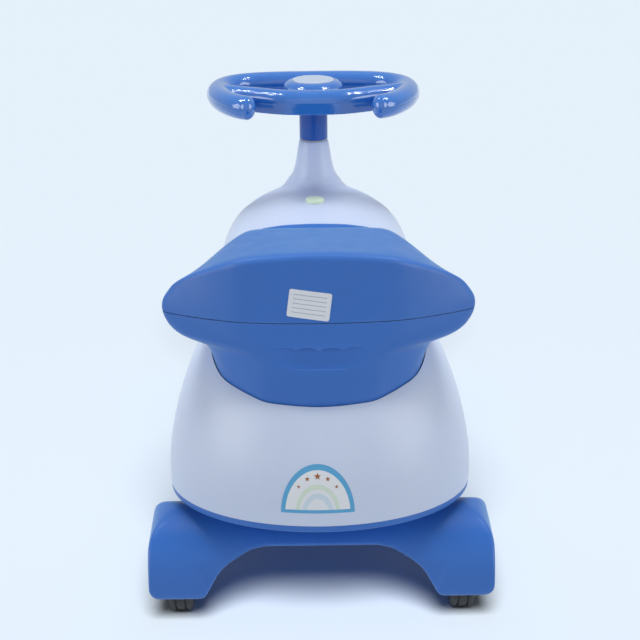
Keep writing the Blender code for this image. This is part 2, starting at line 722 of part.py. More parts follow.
def make_seat():
    top = link_part(seat_cage("seat_top"), blue_plastic)
    base = link_part(seat_cage("seat_base"), blue_plastic)
    floor_cut = link_tool(box(
        "seat_floor_cut", (-SEAT_HALF_WIDTH, SEAT_REAR_Y - 0.1, SEAT_FLOOR_HEIGHT - 0.1),
        (SEAT_HALF_WIDTH, SEAT_FRONT_Y + 0.1, SEAT_FLOOR_HEIGHT)))
    core = seat_form("seat_core", SEAT_SMOOTHING_STEPS, grow=-SEAT_WALL * 0.5)
    for shell in (top, base):
        add_mirror(shell)
        add_subdivision(shell, SEAT_SMOOTHING_STEPS)
    add_boolean(base, floor_cut, "DIFFERENCE")
    for shell in (top, base):
        add_solidify(shell, SEAT_WALL)
    add_boolean(top, parting_block("below_parting", FIT_GAP / 2, below=True), "DIFFERENCE")
    add_boolean(base, parting_block("above_parting", -FIT_GAP / 2, below=False), "DIFFERENCE")

    floor_inside = SEAT_FLOOR_HEIGHT + SEAT_WALL
    seat_posts = posts("seat_posts", SEAT_POST_PLACES, floor_inside + FIT_GAP,
                       SEAT_RIDGE_HEIGHT, POST_RADIUS, core)
    add_boolean(top, seat_posts, "UNION")
    add_boolean(top, drills("seat_post_pilot_holes", SEAT_POST_PLACES, floor_inside - 0.01,
                            floor_inside + SCREW_BITE, SCREW_HOLE_RADIUS), "DIFFERENCE")
    add_boolean(base, drills("seat_screw_holes", SEAT_POST_PLACES + PILLAR_PLACES,
                             SEAT_FLOOR_HEIGHT - 0.01, floor_inside + 0.001,
                             SCREW_HOLE_RADIUS), "DIFFERENCE")

    # The grip is a pocket in the base's rear wall, with a floor that follows the wall.
    rear, inside = SEAT_REAR_Y - 0.06, SEAT_REAR_Y + 0.05
    outline = scallop_outline(GRIP_HALF_WIDTH, GRIP_OPENING / 2, 4)
    wide = scallop_outline(GRIP_HALF_WIDTH + SEAT_WALL, GRIP_OPENING / 2 + SEAT_WALL, 4)
    middle = (0, (rear + inside) / 2, GRIP_HEIGHT)
    pocket = link_tool(extruded("grip_pocket", wide, inside - rear, middle, "Y"))
    add_boolean(pocket, core, "INTERSECT")
    back = seat_form("grip_back", SEAT_SMOOTHING_STEPS, shift=GRIP_DEPTH + SEAT_WALL)
    add_boolean(pocket, back, "DIFFERENCE")
    add_boolean(base, pocket, "UNION")
    slot = link_tool(extruded("grip_slot", outline, inside - rear, middle, "Y"))
    add_boolean(slot, seat_form("grip_floor", SEAT_SMOOTHING_STEPS, shift=GRIP_DEPTH), "DIFFERENCE")
    add_boolean(base, slot, "DIFFERENCE")
    return smooth(top, 30), smooth(base, 30)


LOWER_CONTROLS = RIM_CONTROLS[:5] + [
    (WAIST_HALF_WIDTH * 1.12, WAIST_Y - 0.020),
    (FOOT_REST_HALF_WIDTH * 1.02, HOOD_START_Y),
    (FOOT_REST_HALF_WIDTH * 1.03, HOOD_MIDDLE_Y),
    (FOOT_REST_HALF_WIDTH * 0.94, COWL_Y),
    (HOOD_HALF_WIDTH * 0.62, NOSE_CORNER_Y),
    (0.0, NOSE_Y + (NOSE_Y - NOSE_CORNER_Y) / 2),
]


def make_lower_shell():
    """The floor pan: a plate with a standing band round it, and a foot rest either side."""
    outer = offset_outline(mirrored_outline(LOWER_CONTROLS, 3), -BAND_INSET)
    inner = offset_outline(mirrored_outline(RIM_CONTROLS, 3), -BAND_WIDTH)
    shell = link_part(extruded("body_lower_shell", outer, FLOOR_DEPTH,
                               (0, 0, FLOOR_BOTTOM + FLOOR_DEPTH / 2), "Z"), blue_plastic)
    hollow = link_tool(extruded("floor_hollow", inner, FLOOR_DEPTH,
                                (0, 0, FLOOR_TOP + FLOOR_DEPTH / 2), "Z"))
    add_boolean(shell, hollow, "DIFFERENCE")

    bm = bmesh.new()
    for x, y in PILLAR_PLACES:
        add_rod(bm, (x, y, FLOOR_BOTTOM + FLOOR_WALL / 2), (x, y, SEAT_FLOOR_HEIGHT - FIT_GAP),
                SEAT_PILLAR_RADIUS, SMALL_STEPS)
    add_boolean(shell, link_tool(object_from_bmesh("seat_pillars", bm)), "UNION")
    add_boolean(shell, drills("pillar_pilot_holes", PILLAR_PLACES, SEAT_FLOOR_HEIGHT - SCREW_BITE - 0.004,
                              SEAT_FLOOR_HEIGHT + 0.01, SCREW_HOLE_RADIUS), "DIFFERENCE")
    through = drills("floor_screw_holes", BODY_POST_PLACES + HOUSING_BOLT_PLACES + [(0.0, PLUG_Y)],
                     FLOOR_BOTTOM - 0.01, FLOOR_TOP + 0.001, SCREW_HOLE_RADIUS)
    add_boolean(shell, through, "DIFFERENCE")
    bush_hole = drills("lower_bush_hole", [(0.0, STEERING_Y)], FLOOR_BOTTOM - 0.01,
                       FLOOR_TOP + 0.01, LOWER_BUSH_RADIUS + FIT_GAP, WHEEL_STEPS)
    add_boolean(shell, bush_hole, "DIFFERENCE")
    return shell


HOUSING_TOP = FLOOR_BOTTOM - FIT_GAP


def make_housing():
    outline = housing_outline_closed()
    housing = link_part(extruded("rear_axle_housing", outline, 2.4 * FENDER_RADIUS,
                                 (0, REAR_AXLE_Y, 0), "Y"), blue_plastic)
    fender = link_tool(rod("fender_round", (-CAR_HALF_WIDTH - 0.01, REAR_AXLE_Y, WHEEL_RADIUS),
                           (CAR_HALF_WIDTH + 0.01, REAR_AXLE_Y, WHEEL_RADIUS), FENDER_RADIUS, 40))
    add_boolean(housing, fender, "INTERSECT")
    pad_half_width = HOUSING_BOLT_PLACES[1][0] + BOLT_MARGIN
    pad_half_length = abs(HOUSING_BOLT_PLACES[1][1] - REAR_AXLE_Y) + BOLT_MARGIN
    pad = link_tool(box("housing_pad",
                        (-pad_half_width, REAR_AXLE_Y - pad_half_length, BEAM_UNDERSIDE + 0.010),
                        (pad_half_width, REAR_AXLE_Y + pad_half_length, HOUSING_TOP)))
    add_boolean(housing, pad, "UNION")
    channel = link_tool(box("housing_channel",
                            (-CHANNEL_HALF_WIDTH, REAR_AXLE_Y - CHANNEL_HALF_LENGTH,
                             BEAM_UNDERSIDE + FENDER_WALL),
                            (CHANNEL_HALF_WIDTH, REAR_AXLE_Y + CHANNEL_HALF_LENGTH,
                             HOUSING_TOP + 0.02)))
    add_boolean(housing, channel, "DIFFERENCE")
    for side in (-1, 1):
        tag = "left" if side < 0 else "right"
        reach = FENDER_RADIUS - FENDER_WALL
        profile = [(0.0, WELL_OUTER)]
        for k in range(6):
            angle = math.radians(90 - 18 * k)
            profile.append((reach - WELL_ROUNDING + WELL_ROUNDING * math.cos(angle),
                            WELL_OUTER - WELL_ROUNDING + WELL_ROUNDING * math.sin(angle)))
        profile += [(reach, WELL_INNER), (0.0, WELL_INNER)]
        well = link_tool(turned("wheel_well_" + tag, profile, (0, REAR_AXLE_Y, WHEEL_RADIUS),
                                (side, 0, 0), WELL_STEPS, closed=False))
        add_boolean(housing, well, "DIFFERENCE")
        low, high = sorted((side * (WELL_INNER + FIT_GAP), side * (WELL_OUTER - FIT_GAP)))
        half_length = reach * MOUTH_SHARE
        mouth = link_tool(box("well_mouth_" + tag,
                              (low, REAR_AXLE_Y - half_length, POD_BOTTOM - 0.01),
                              (high, REAR_AXLE_Y + half_length, WHEEL_RADIUS - 0.002)))
        add_boolean(housing, mouth, "DIFFERENCE")
        bore = link_tool(rod("rear_axle_bore_" + tag,
                             (side * (WELL_INNER - AXLE_SOCKET_DEPTH), REAR_AXLE_Y, WHEEL_RADIUS),
                             (side * (POD_OUTER + 0.01), REAR_AXLE_Y, WHEEL_RADIUS),
                             AXLE_RADIUS + FIT_GAP, SMALL_STEPS))
        add_boolean(housing, bore, "DIFFERENCE")
    holes = drills("housing_bolt_holes", HOUSING_BOLT_PLACES, HOUSING_TOP - SCREW_BITE,
                   HOUSING_TOP + 0.01, SCREW_HOLE_RADIUS)
    add_boolean(housing, holes, "DIFFERENCE")
    return smooth(housing, 35)


def housing_outline_closed():
    """The rear housing seen from behind, all the way round."""
    corner = POD_ROUNDING
    top = WHEEL_RADIUS + FENDER_RADIUS + FIT_GAP
    right = [(POD_OUTER - corner, top)]
    for k in range(1, 6):
        angle = math.radians(90 - 18 * k)
        right.append((POD_OUTER - corner + corner * math.cos(angle),
                      top - corner + corner * math.sin(angle)))
    right += [
        (POD_OUTER, POD_BOTTOM + 0.009),
        (POD_OUTER - 0.003, POD_BOTTOM + 0.003),
        (POD_OUTER - 0.009, POD_BOTTOM),
        (POD_INNER + 0.004, POD_BOTTOM),
        (POD_INNER - 0.002, POD_BOTTOM + 0.004),
        (POD_INNER - 0.012, POD_BOTTOM + 0.0203),
        (POD_INNER - 0.021, BEAM_UNDERSIDE - 0.013),
        (POD_INNER - 0.034, BEAM_UNDERSIDE - 0.005),
        (POD_INNER - 0.050, BEAM_UNDERSIDE - 0.001),
        (POD_INNER - 0.062, BEAM_UNDERSIDE),
    ]
    return right + [(-x, z) for x, z in reversed(right)]


def wheel_profile(radius, inner, half_width, round_off):
    """A tyre's section: a round-shouldered tread down to the hub's rim."""
    return [
        (radius - round_off, half_width),
        (radius - round_off * 0.3, half_width - round_off * 0.3),
        (radius, half_width - round_off),
        (radius, -half_width + round_off),
        (radius - round_off * 0.3, -half_width + round_off * 0.3),
        (radius - round_off, -half_width),
        (inner, -half_width),
        (inner, half_width),
    ]


def make_wheel(name, x, y, outward, inner_face, outer_face):
    """A two-piece road wheel on an axle along X: a hub, and the tyre moulded round it.

    The faces are the hub's ends, measured from the wheel's middle, towards and from the car.
    """
    centre = (x, y, WHEEL_RADIUS)
    axis = (outward, 0, 0)
    rim = WHEEL_RADIUS - TYRE_DEPTH
    half = TYRE_WIDTH / 2
    tyre = link_part(turned(name + "_tyre", wheel_profile(WHEEL_RADIUS, rim + FIT_GAP, half, 0.005),
                            centre, axis, WHEEL_STEPS, closed=True), black_plastic)
    boss = HUB_BORE_RADIUS + 0.005
    hub = link_part(turned(name + "_hub", [
        (boss, outer_face),
        (boss, half * 0.35),
        (rim - 0.004, half * 0.35),
        (rim - 0.003, half),
        (rim, half),
        (rim, -half),
        (rim - 0.003, -half),
        (rim - 0.004, -half * 0.35),
        (boss, -half * 0.35),
        (boss, -inner_face),
        (HUB_BORE_RADIUS, -inner_face),
        (HUB_BORE_RADIUS, outer_face),
    ], centre, axis, WHEEL_STEPS, closed=True), black_plastic)
    return smooth(tyre), smooth(hub)


def screw(name, place, direction, length, material=None):
    """A pan-head screw: its place is under the head, and its shank runs along the direction."""
    away = Vector(direction)
    obj = turned(name, [
        (0.0, SCREW_HEAD_DEPTH),
        (SCREW_HEAD_RADIUS * 0.8, SCREW_HEAD_DEPTH),
        (SCREW_HEAD_RADIUS, 0.0),
        (SCREW_RADIUS, 0.0),
        (SCREW_RADIUS, -length),
        (0.0, -length),
    ], place, -away, SCREW_STEPS, closed=False)
    return smooth(link_part(obj, material or zinc_steel))


def make_rear_wheels():
    for side in (-1, 1):
        tag = "left" if side < 0 else "right"
        x = side * REAR_TRACK / 2
        inner_face = REAR_TRACK / 2 - WELL_INNER - RUNNING_GAP
        outer_face = WELL_OUTER - REAR_TRACK / 2 - RUNNING_GAP
        make_wheel("rear_wheel_" + tag, x, REAR_AXLE_Y, side, inner_face, outer_face)
        start = side * (WELL_INNER - AXLE_SOCKET_DEPTH + FIT_GAP)
        end = side * POD_OUTER
        axle = rod("rear_axle_" + tag, (start, REAR_AXLE_Y, WHEEL_RADIUS),
                   (end, REAR_AXLE_Y, WHEEL_RADIUS), AXLE_RADIUS)
        smooth(link_part(axle, zinc_steel))
        cap = turned("rear_axle_cap_" + tag, [
            (0.0, AXLE_CAP_DEPTH),
            (AXLE_CAP_RADIUS * 0.6, AXLE_CAP_DEPTH * 0.9),
            (AXLE_CAP_RADIUS * 0.92, AXLE_CAP_DEPTH * 0.6),
            (AXLE_CAP_RADIUS, FIT_GAP),
            (0.0, FIT_GAP),
        ], (side * POD_OUTER, REAR_AXLE_Y, WHEEL_RADIUS), (side, 0, 0), WHEEL_STEPS, closed=False)
        smooth(link_part(cap, bright_steel))


FRONT_AXLE_Y = STEERING_Y - FRONT_TRAIL
FRONT_HUB_OUTER = 0.060
AXLE_NUT_DEPTH = 0.005


def make_front_carrier():
    """The swivelling carrier below the floor, which trails the front wheels behind the steering axis."""
    boss = 0.012
    plate_bottom = BRACKET_TOP - BRACKET_PLATE
    side_view = [
        (STEERING_Y + 0.022, BRACKET_TOP),
        (STEERING_Y - 0.050, BRACKET_TOP),
        (FRONT_AXLE_Y - boss * 1.3, plate_bottom - 0.010),
        (FRONT_AXLE_Y - boss, WHEEL_RADIUS),
    ]
    for k in range(1, 6):
        angle = math.radians(180 + 30 * k)
        side_view.append((FRONT_AXLE_Y + boss * math.cos(angle),
                          WHEEL_RADIUS + boss * math.sin(angle)))
    side_view += [
        (FRONT_AXLE_Y + boss, WHEEL_RADIUS),
        (STEERING_Y + 0.010, plate_bottom - 0.008),
        (STEERING_Y + 0.022, plate_bottom),
    ]
    bracket = link_part(extruded("front_wheel_bracket", side_view[::-1], 2 * BRACKET_HALF_WIDTH,
                                 (0, 0, 0), "X"), black_plastic)
    inside = BRACKET_HALF_WIDTH - BRACKET_WALL
    hollow = link_tool(box("bracket_hollow", (-inside, FRONT_AXLE_Y - 0.040, 0.02),
                           (inside, STEERING_Y + 0.040, plate_bottom)))
    add_boolean(bracket, hollow, "DIFFERENCE")
    add_boolean(bracket, drills("bracket_shaft_hole", [(0.0, STEERING_Y)], plate_bottom - 0.01,
                                BRACKET_TOP + 0.01, SHAFT_RADIUS + FIT_GAP, SMALL_STEPS), "DIFFERENCE")
    reach = FRONT_HUB_OUTER + FIT_GAP
    bore = link_tool(rod("front_axle_bore", (-reach, FRONT_AXLE_Y, WHEEL_RADIUS),
                         (reach, FRONT_AXLE_Y, WHEEL_RADIUS), AXLE_RADIUS + FIT_GAP))
    add_boolean(bracket, bore, "DIFFERENCE")
    smooth(bracket, 35)

    end = FRONT_HUB_OUTER + RUNNING_GAP
    axle = rod("front_axle", (-end, FRONT_AXLE_Y, WHEEL_RADIUS), (end, FRONT_AXLE_Y, WHEEL_RADIUS),
               AXLE_RADIUS)
    smooth(link_part(axle, zinc_steel))
    for side in (-1, 1):
        tag = "left" if side < 0 else "right"
        inner_face = FRONT_TRACK / 2 - BRACKET_HALF_WIDTH - RUNNING_GAP
        make_wheel("front_wheel_" + tag, side * FRONT_TRACK / 2, FRONT_AXLE_Y, side, inner_face,
                   FRONT_HUB_OUTER - FRONT_TRACK / 2)
        nut = turned("front_axle_nut_" + tag, [
            (0.0, AXLE_NUT_DEPTH),
            (HUB_BORE_RADIUS + 0.002, AXLE_NUT_DEPTH),
            (HUB_BORE_RADIUS + 0.004, AXLE_NUT_DEPTH * 0.5),
            (HUB_BORE_RADIUS + 0.004, FIT_GAP),
            (0.0, FIT_GAP),
        ], (side * end, FRONT_AXLE_Y, WHEEL_RADIUS), (side, 0, 0), 6, closed=False)
        link_part(nut, zinc_steel)

    nut_top = plate_bottom - FIT_GAP
    hexagon_nut("shaft_nut", nut_top - 0.007, nut_top)


def ring(name, bore, radius, bottom, top, material, steps=WHEEL_STEPS):
    """A flat ring round the steering axis."""
    obj = turned(name, [(radius, top), (radius, bottom), (bore, bottom), (bore, top)],
                 (0, STEERING_Y, 0), (0, 0, 1), steps, closed=True)
    return smooth(link_part(obj, material))


def hexagon_nut(name, bottom, top):
    """A nut on the threaded end of the steering shaft."""
    nut = link_part(rod(name, (0, STEERING_Y, bottom), (0, STEERING_Y, top), STEERING_NUT_RADIUS, 6),
                    zinc_steel)
    bore = rod(name + "_bore", (0, STEERING_Y, bottom - 0.01), (0, STEERING_Y, top + 0.01),
               SHAFT_RADIUS + FIT_GAP)
    add_boolean(nut, link_tool(bore), "DIFFERENCE")
    return smooth(nut, 30)


def make_column():
    shaft_bottom = BRACKET_TOP - BRACKET_PLATE - 0.009
    shaft = rod("steering_shaft", (0, STEERING_Y, shaft_bottom), (0, STEERING_Y, NUT_BOTTOM + 0.004),
                SHAFT_RADIUS)
    smooth(link_part(shaft, zinc_steel))
    ring("column_sleeve", SHAFT_RADIUS + FIT_GAP, SLEEVE_RADIUS, SLEEVE_BOTTOM,
         STEERING_UNDERSIDE - FIT_GAP, blue_plastic)

    bore = SHAFT_RADIUS + FIT_GAP
    flange_bottom = NECK_HEIGHT + 2 * FIT_GAP
    upper = turned("neck_upper_bush", [
        (NECK_TOP_RADIUS - 0.0010, flange_bottom + BUSH_FLANGE - FIT_GAP),
        (NECK_TOP_RADIUS - 0.0010, flange_bottom),
        (NECK_BORE_RADIUS - FIT_GAP, flange_bottom),
        (NECK_BORE_RADIUS - FIT_GAP, NECK_HEIGHT - 0.022),
        (bore, NECK_HEIGHT - 0.022),
        (bore, flange_bottom + BUSH_FLANGE - FIT_GAP),
    ], (0, STEERING_Y, 0), (0, 0, 1), WHEEL_STEPS, closed=True)
    smooth(link_part(upper, grey_nylon))

    flange_top = FLOOR_BOTTOM - FIT_GAP
    lower = turned("floor_bush", [
        (LOWER_BUSH_RADIUS, FLOOR_TOP + 0.004),
        (LOWER_BUSH_RADIUS, flange_top),
        (LOWER_BUSH_FLANGE_RADIUS, flange_top),
        (LOWER_BUSH_FLANGE_RADIUS, flange_top - LOWER_BUSH_FLANGE),
        (bore, flange_top - LOWER_BUSH_FLANGE),
        (bore, FLOOR_TOP + 0.004),
    ], (0, STEERING_Y, 0), (0, 0, 1), WHEEL_STEPS, closed=True)
    smooth(link_part(lower, grey_nylon))
    washer_top = flange_top - LOWER_BUSH_FLANGE - FIT_GAP
    ring("thrust_washer", bore, LOWER_BUSH_FLANGE_RADIUS - 0.001, washer_top - THRUST_WASHER,
         washer_top, zinc_steel)

HUB_TOP = STEERING_PLANE + HUB_RISE
COLLAR_TOP = STEERING_PLANE + HUB_COLLAR_RISE
HUB_WEB_HALF_WIDTH = 0.028
HUB_SCREW_PLACES = [
    (0.0292 * math.cos(math.radians(a)), STEERING_Y + 0.0292 * math.sin(math.radians(a)))
    for a in (45, 135, 225, 315)]


def steering_path():
    """The rim's centre line, from the left horn's tip round the far side to the right one's."""
    reach = STEERING_HALF_WIDTH - STEERING_TUBE_RADIUS
    right = [
        (0.000, STEERING_FAR_REACH + 0.0005),
        (reach * 0.42, STEERING_FAR_REACH + 0.0005),
        (reach * 0.80, STEERING_FAR_REACH - 0.007),
        (reach * 1.005, STEERING_FAR_REACH - 0.033),
        (reach * 1.015, -0.022),
        (reach * 0.93, -STEERING_HORN_REACH + 0.032),
        (reach * 0.80, -STEERING_HORN_REACH + 0.008),
        (reach * 0.70, -STEERING_HORN_REACH - 0.001),
        (reach * 0.60, -STEERING_HORN_REACH - 0.002),
    ]
    left = [(-x, y) for x, y in right[:0:-1]]
    controls = [(x, STEERING_Y + y, STEERING_PLANE) for x, y in left + right]
    return spline_points(controls, 2)


def crossbar_path():
    """The crossbar's centre line, bowed towards the rider, with both ends inside the rim."""
    reach = STEERING_HALF_WIDTH - STEERING_TUBE_RADIUS
    right = [
        (0.0, -CROSSBAR_REACH - 0.001),
        (reach * 0.30, -CROSSBAR_REACH),
        (reach * 0.55, -CROSSBAR_REACH + 0.015),
        (reach * 0.80, -CROSSBAR_REACH + 0.028),
        (reach * 1.00, -CROSSBAR_REACH + 0.036),
        (reach * 1.16, -CROSSBAR_REACH + 0.043),
    ]
    left = [(-x, y) for x, y in right[:0:-1]]
    controls = [(x, STEERING_Y + y, STEERING_PLANE) for x, y in left + right]
    return spline_points(controls, 2)


def steering_form():
    """The whole steering wheel, hollow in its rim and crossbar, before it is parted in two."""
    path = steering_path()
    form = link_tool(tube("steering_form", path, STEERING_TUBE_RADIUS, 1))
    bm = bmesh.new()
    for tip in (path[0], path[-1]):
        bmesh.ops.create_uvsphere(bm, u_segments=12, v_segments=8,
                                  radius=STEERING_TUBE_RADIUS * 1.02,
                                  matrix=Matrix.Translation(tip))
    add_boolean(form, link_tool(object_from_bmesh("horn_ends", bm)), "UNION")
    bar = link_tool(tube("crossbar_form", crossbar_path(), CROSSBAR_RADIUS, 1))
    add_boolean(form, bar, "UNION")
    inside = STEERING_TUBE_RADIUS - STEERING_WALL
    rim_hollow = link_tool(tube("rim_hollow", path, inside, 0))
    bar_hollow = link_tool(tube("crossbar_hollow", crossbar_path()[2:-2], inside, 0))
    add_boolean(form, rim_hollow, "DIFFERENCE")
    add_boolean(form, bar_hollow, "DIFFERENCE")
    web = link_tool(box(
        "hub_web",
        (-HUB_WEB_HALF_WIDTH, STEERING_Y - CROSSBAR_REACH + 0.004, STEERING_PLANE - 0.0115),
        (HUB_WEB_HALF_WIDTH, STEERING_Y + STEERING_FAR_REACH - 0.005, STEERING_PLANE + 0.0065)))
    add_boolean(form, web, "UNION")
    boss = link_tool(turned("hub_boss", [
        (0.0, COLLAR_TOP),
        (HUB_COLLAR_RADIUS, COLLAR_TOP),
        (HUB_COLLAR_RADIUS, HUB_TOP),
        (HUB_RADIUS, HUB_TOP),
        (HUB_RADIUS, STEERING_PLANE - 0.0125),
        (0.0, STEERING_PLANE - 0.0125),
    ], (0, STEERING_Y, 0), (0, 0, 1), WHEEL_STEPS, closed=False))
    add_boolean(form, boss, "UNION")
    return form


def make_steering_wheel():
    form = steering_form()
    reach = STEERING_HALF_WIDTH * 1.2
    low_corner = (-reach, STEERING_Y - reach, STEERING_PLANE - 0.05)
    high_corner = (reach, STEERING_Y + reach, STEERING_PLANE + 0.05)
    lower = link_part(box("steering_wheel_lower", low_corner,
                          (reach, STEERING_Y + reach, STEERING_PLANE - FIT_GAP / 2)), gloss_blue)
    upper = link_part(box("steering_wheel_upper",
                          (-reach, STEERING_Y - reach, STEERING_PLANE + FIT_GAP / 2),
                          high_corner), gloss_blue)
    well = drills("hub_well", [(0.0, STEERING_Y)], NUT_BOTTOM - FIT_GAP, COLLAR_TOP + 0.01,
                  HUB_CAP_RADIUS + FIT_GAP, WHEEL_STEPS)
    bore = drills("hub_bore", [(0.0, STEERING_Y)], STEERING_PLANE - 0.04, COLLAR_TOP + 0.01,
                  SHAFT_RADIUS + FIT_GAP, SMALL_STEPS)
    screws = drills("hub_screw_holes", HUB_SCREW_PLACES, STEERING_PLANE - 0.04,
                    STEERING_PLANE + HUB_RISE - 0.002, SCREW_HOLE_RADIUS, SCREW_STEPS)
    for half in (lower, upper):
        add_boolean(half, form, "INTERSECT")
        for tool in (well, bore, screws):
            add_boolean(half, tool, "DIFFERENCE")
        smooth(half, 35)
    head_floor = STEERING_PLANE - 0.0125 - FIT_GAP
    for number, (x, y) in enumerate(HUB_SCREW_PLACES, 1):
        screw(f"steering_screw_{number}", (x, y, head_floor), (0, 0, 1), 0.0185)
    hexagon_nut("steering_nut", NUT_BOTTOM, NUT_BOTTOM + STEERING_NUT_DEPTH)
    cap_top = COLLAR_TOP + 0.0005
    leg = HUB_CAP_RADIUS - 0.002
    leg_bottom = NUT_BOTTOM
    cap = turned("hub_cap", [
        (0.0, cap_top),
        (HUB_CAP_RADIUS - 0.0010, cap_top),
        (HUB_CAP_RADIUS, cap_top - 0.0010),
        (HUB_CAP_RADIUS, leg_bottom),
        (leg, leg_bottom),
        (leg, cap_top - HUB_CAP_DEPTH),
        (0.0, cap_top - HUB_CAP_DEPTH),
    ], (0, STEERING_Y, 0), (0, 0, 1), WHEEL_STEPS, closed=False)
    smooth(link_part(cap, pale_plastic))


def make_nose_wheels():
    half = NOSE_BLOCK_LENGTH / 2
    block_bottom = NOSE_WHEEL_Z - 0.008
    block = link_part(box("nose_wheel_block",
                          (-NOSE_BLOCK_HALF_WIDTH, NOSE_WHEEL_Y - half, block_bottom),
                          (NOSE_BLOCK_HALF_WIDTH, NOSE_WHEEL_Y + half, FLOOR_BOTTOM - FIT_GAP)),
                      black_plastic)
    reach = NOSE_BLOCK_HALF_WIDTH + NOSE_WHEEL_WIDTH + 2 * RUNNING_GAP
    pin_hole = link_tool(rod("nose_pin_hole", (-reach, NOSE_WHEEL_Y, NOSE_WHEEL_Z),
                             (reach, NOSE_WHEEL_Y, NOSE_WHEEL_Z), NOSE_PIN_RADIUS + FIT_GAP, 12))
    add_boolean(block, pin_hole, "DIFFERENCE")
    pin = turned("nose_wheel_pin", [
        (0.0, reach + 0.002),
        (NOSE_PIN_RADIUS * 1.9, reach + 0.001),
        (NOSE_PIN_RADIUS * 1.9, reach),
        (NOSE_PIN_RADIUS, reach),
        (NOSE_PIN_RADIUS, -reach),
        (NOSE_PIN_RADIUS * 1.9, -reach),
        (NOSE_PIN_RADIUS * 1.9, -reach - 0.001),
        (0.0, -reach - 0.002),
    ], (0, NOSE_WHEEL_Y, NOSE_WHEEL_Z), (1, 0, 0), 12, closed=False)
    smooth(link_part(pin, zinc_steel))
    for side in (-1, 1):
        tag = "left" if side < 0 else "right"
        x = side * (NOSE_BLOCK_HALF_WIDTH + RUNNING_GAP + NOSE_WHEEL_WIDTH / 2)
        half_width = NOSE_WHEEL_WIDTH / 2
        wheel = turned("nose_wheel_" + tag, [
            (NOSE_PIN_RADIUS + FIT_GAP, half_width),
            (NOSE_WHEEL_RADIUS - 0.003, half_width),
            (NOSE_WHEEL_RADIUS, half_width - 0.003),
            (NOSE_WHEEL_RADIUS, -half_width + 0.003),
            (NOSE_WHEEL_RADIUS - 0.003, -half_width),
            (NOSE_PIN_RADIUS + FIT_GAP, -half_width),
        ], (x, NOSE_WHEEL_Y, NOSE_WHEEL_Z), (side, 0, 0), 20, closed=True)
        smooth(link_part(wheel, black_plastic))


def make_fasteners():
    under_floor = FLOOR_BOTTOM - FIT_GAP
    for number, (x, y) in enumerate(BODY_POST_PLACES, 1):
        screw(f"body_screw_{number}", (x, y, under_floor), (0, 0, 1), FLOOR_WALL + SCREW_BITE - 0.001)
    over_floor = FLOOR_TOP + FIT_GAP
    for number, (x, y) in enumerate(HOUSING_BOLT_PLACES, 1):
        screw(f"housing_bolt_{number}", (x, y, over_floor), (0, 0, -1), FLOOR_WALL + SCREW_BITE - 0.002)
    under_seat = SEAT_FLOOR_HEIGHT - FIT_GAP
    for number, (x, y) in enumerate(SEAT_POST_PLACES, 1):
        screw(f"seat_screw_{number}", (x, y, under_seat), (0, 0, 1), SEAT_WALL + SCREW_BITE - 0.001)
    in_seat = SEAT_FLOOR_HEIGHT + SEAT_WALL + FIT_GAP
    for number, (x, y) in enumerate(PILLAR_PLACES, 1):
        screw(f"seat_mount_screw_{number}", (x, y, in_seat), (0, 0, -1), SEAT_WALL + SCREW_BITE - 0.002)
    floor_z = PLUG_HEIGHT - PLUG_DEPTH
    plug = turned("hood_plug", [
        (0.0, floor_z + PLUG_DEPTH + 0.0012),
        (PLUG_RADIUS * 0.85, floor_z + PLUG_DEPTH + 0.0009),
        (PLUG_RADIUS, floor_z + PLUG_DEPTH),
        (PLUG_RADIUS, floor_z + FIT_GAP),
        (0.0, floor_z + FIT_GAP),
    ], (0, PLUG_Y, 0), (0, 0, 1), WHEEL_STEPS, closed=False)
    smooth(link_part(plug, green_plastic))


STEERED = (
    ["steering_wheel_upper", "steering_wheel_lower", "hub_cap", "steering_nut", "column_sleeve",
     "steering_shaft", "shaft_nut", "front_wheel_bracket", "front_axle",
     "front_axle_nut_left", "front_axle_nut_right"]
    + [f"steering_screw_{number}" for number in (1, 2, 3, 4)]
)


def hang_on_axis(name, place, pieces):
    """An empty on a joint's axis, with the pieces that turn round it as its children."""
    axis = bpy.data.objects.new(name, None)
    axis.location = place
    trunk.objects.link(axis)
    for piece in pieces:
        piece.parent = axis
        piece.location = piece.location - Vector(place)


make_upper_shell()
make_lower_shell()
make_seat()
make_housing()
make_rear_wheels()
make_column()
make_front_carrier()
make_steering_wheel()
make_nose_wheels()
make_fasteners()
hang_on_axis("steering_axis", (0, STEERING_Y, 0), [trunk.objects[name] for name in STEERED])
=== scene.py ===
import math

import bmesh
import bpy
from mathutils import Matrix, Vector


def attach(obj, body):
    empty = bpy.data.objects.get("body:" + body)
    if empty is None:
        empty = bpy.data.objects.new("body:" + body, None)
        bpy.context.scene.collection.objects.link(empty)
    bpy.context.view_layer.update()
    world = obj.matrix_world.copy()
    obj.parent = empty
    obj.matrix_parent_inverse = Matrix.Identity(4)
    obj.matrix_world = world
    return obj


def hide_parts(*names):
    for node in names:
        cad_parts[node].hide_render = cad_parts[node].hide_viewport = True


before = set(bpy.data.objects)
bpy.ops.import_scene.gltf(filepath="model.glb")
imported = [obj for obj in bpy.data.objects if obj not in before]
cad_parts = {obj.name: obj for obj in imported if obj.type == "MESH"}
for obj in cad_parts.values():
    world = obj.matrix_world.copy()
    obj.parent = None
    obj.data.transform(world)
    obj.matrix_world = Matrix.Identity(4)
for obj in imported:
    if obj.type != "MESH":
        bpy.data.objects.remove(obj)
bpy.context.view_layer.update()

# White body shell
# One moulding in white polypropylene, 2.5 mm thick: round tail, waist, hood and the neck that
# the steering shaft comes up through. It stands on the floor pan and is screwed from below.
RIM_HEIGHT = 0.117
SHELL_WALL = 0.0025
NECK_TOP = 0.343
NECK_AXIS_Y = 0.200
NECK_BORE = 0.0118
SHELL_COLOUR = "D2DFF8"
SHELL_SHADE = "CBD9F5"


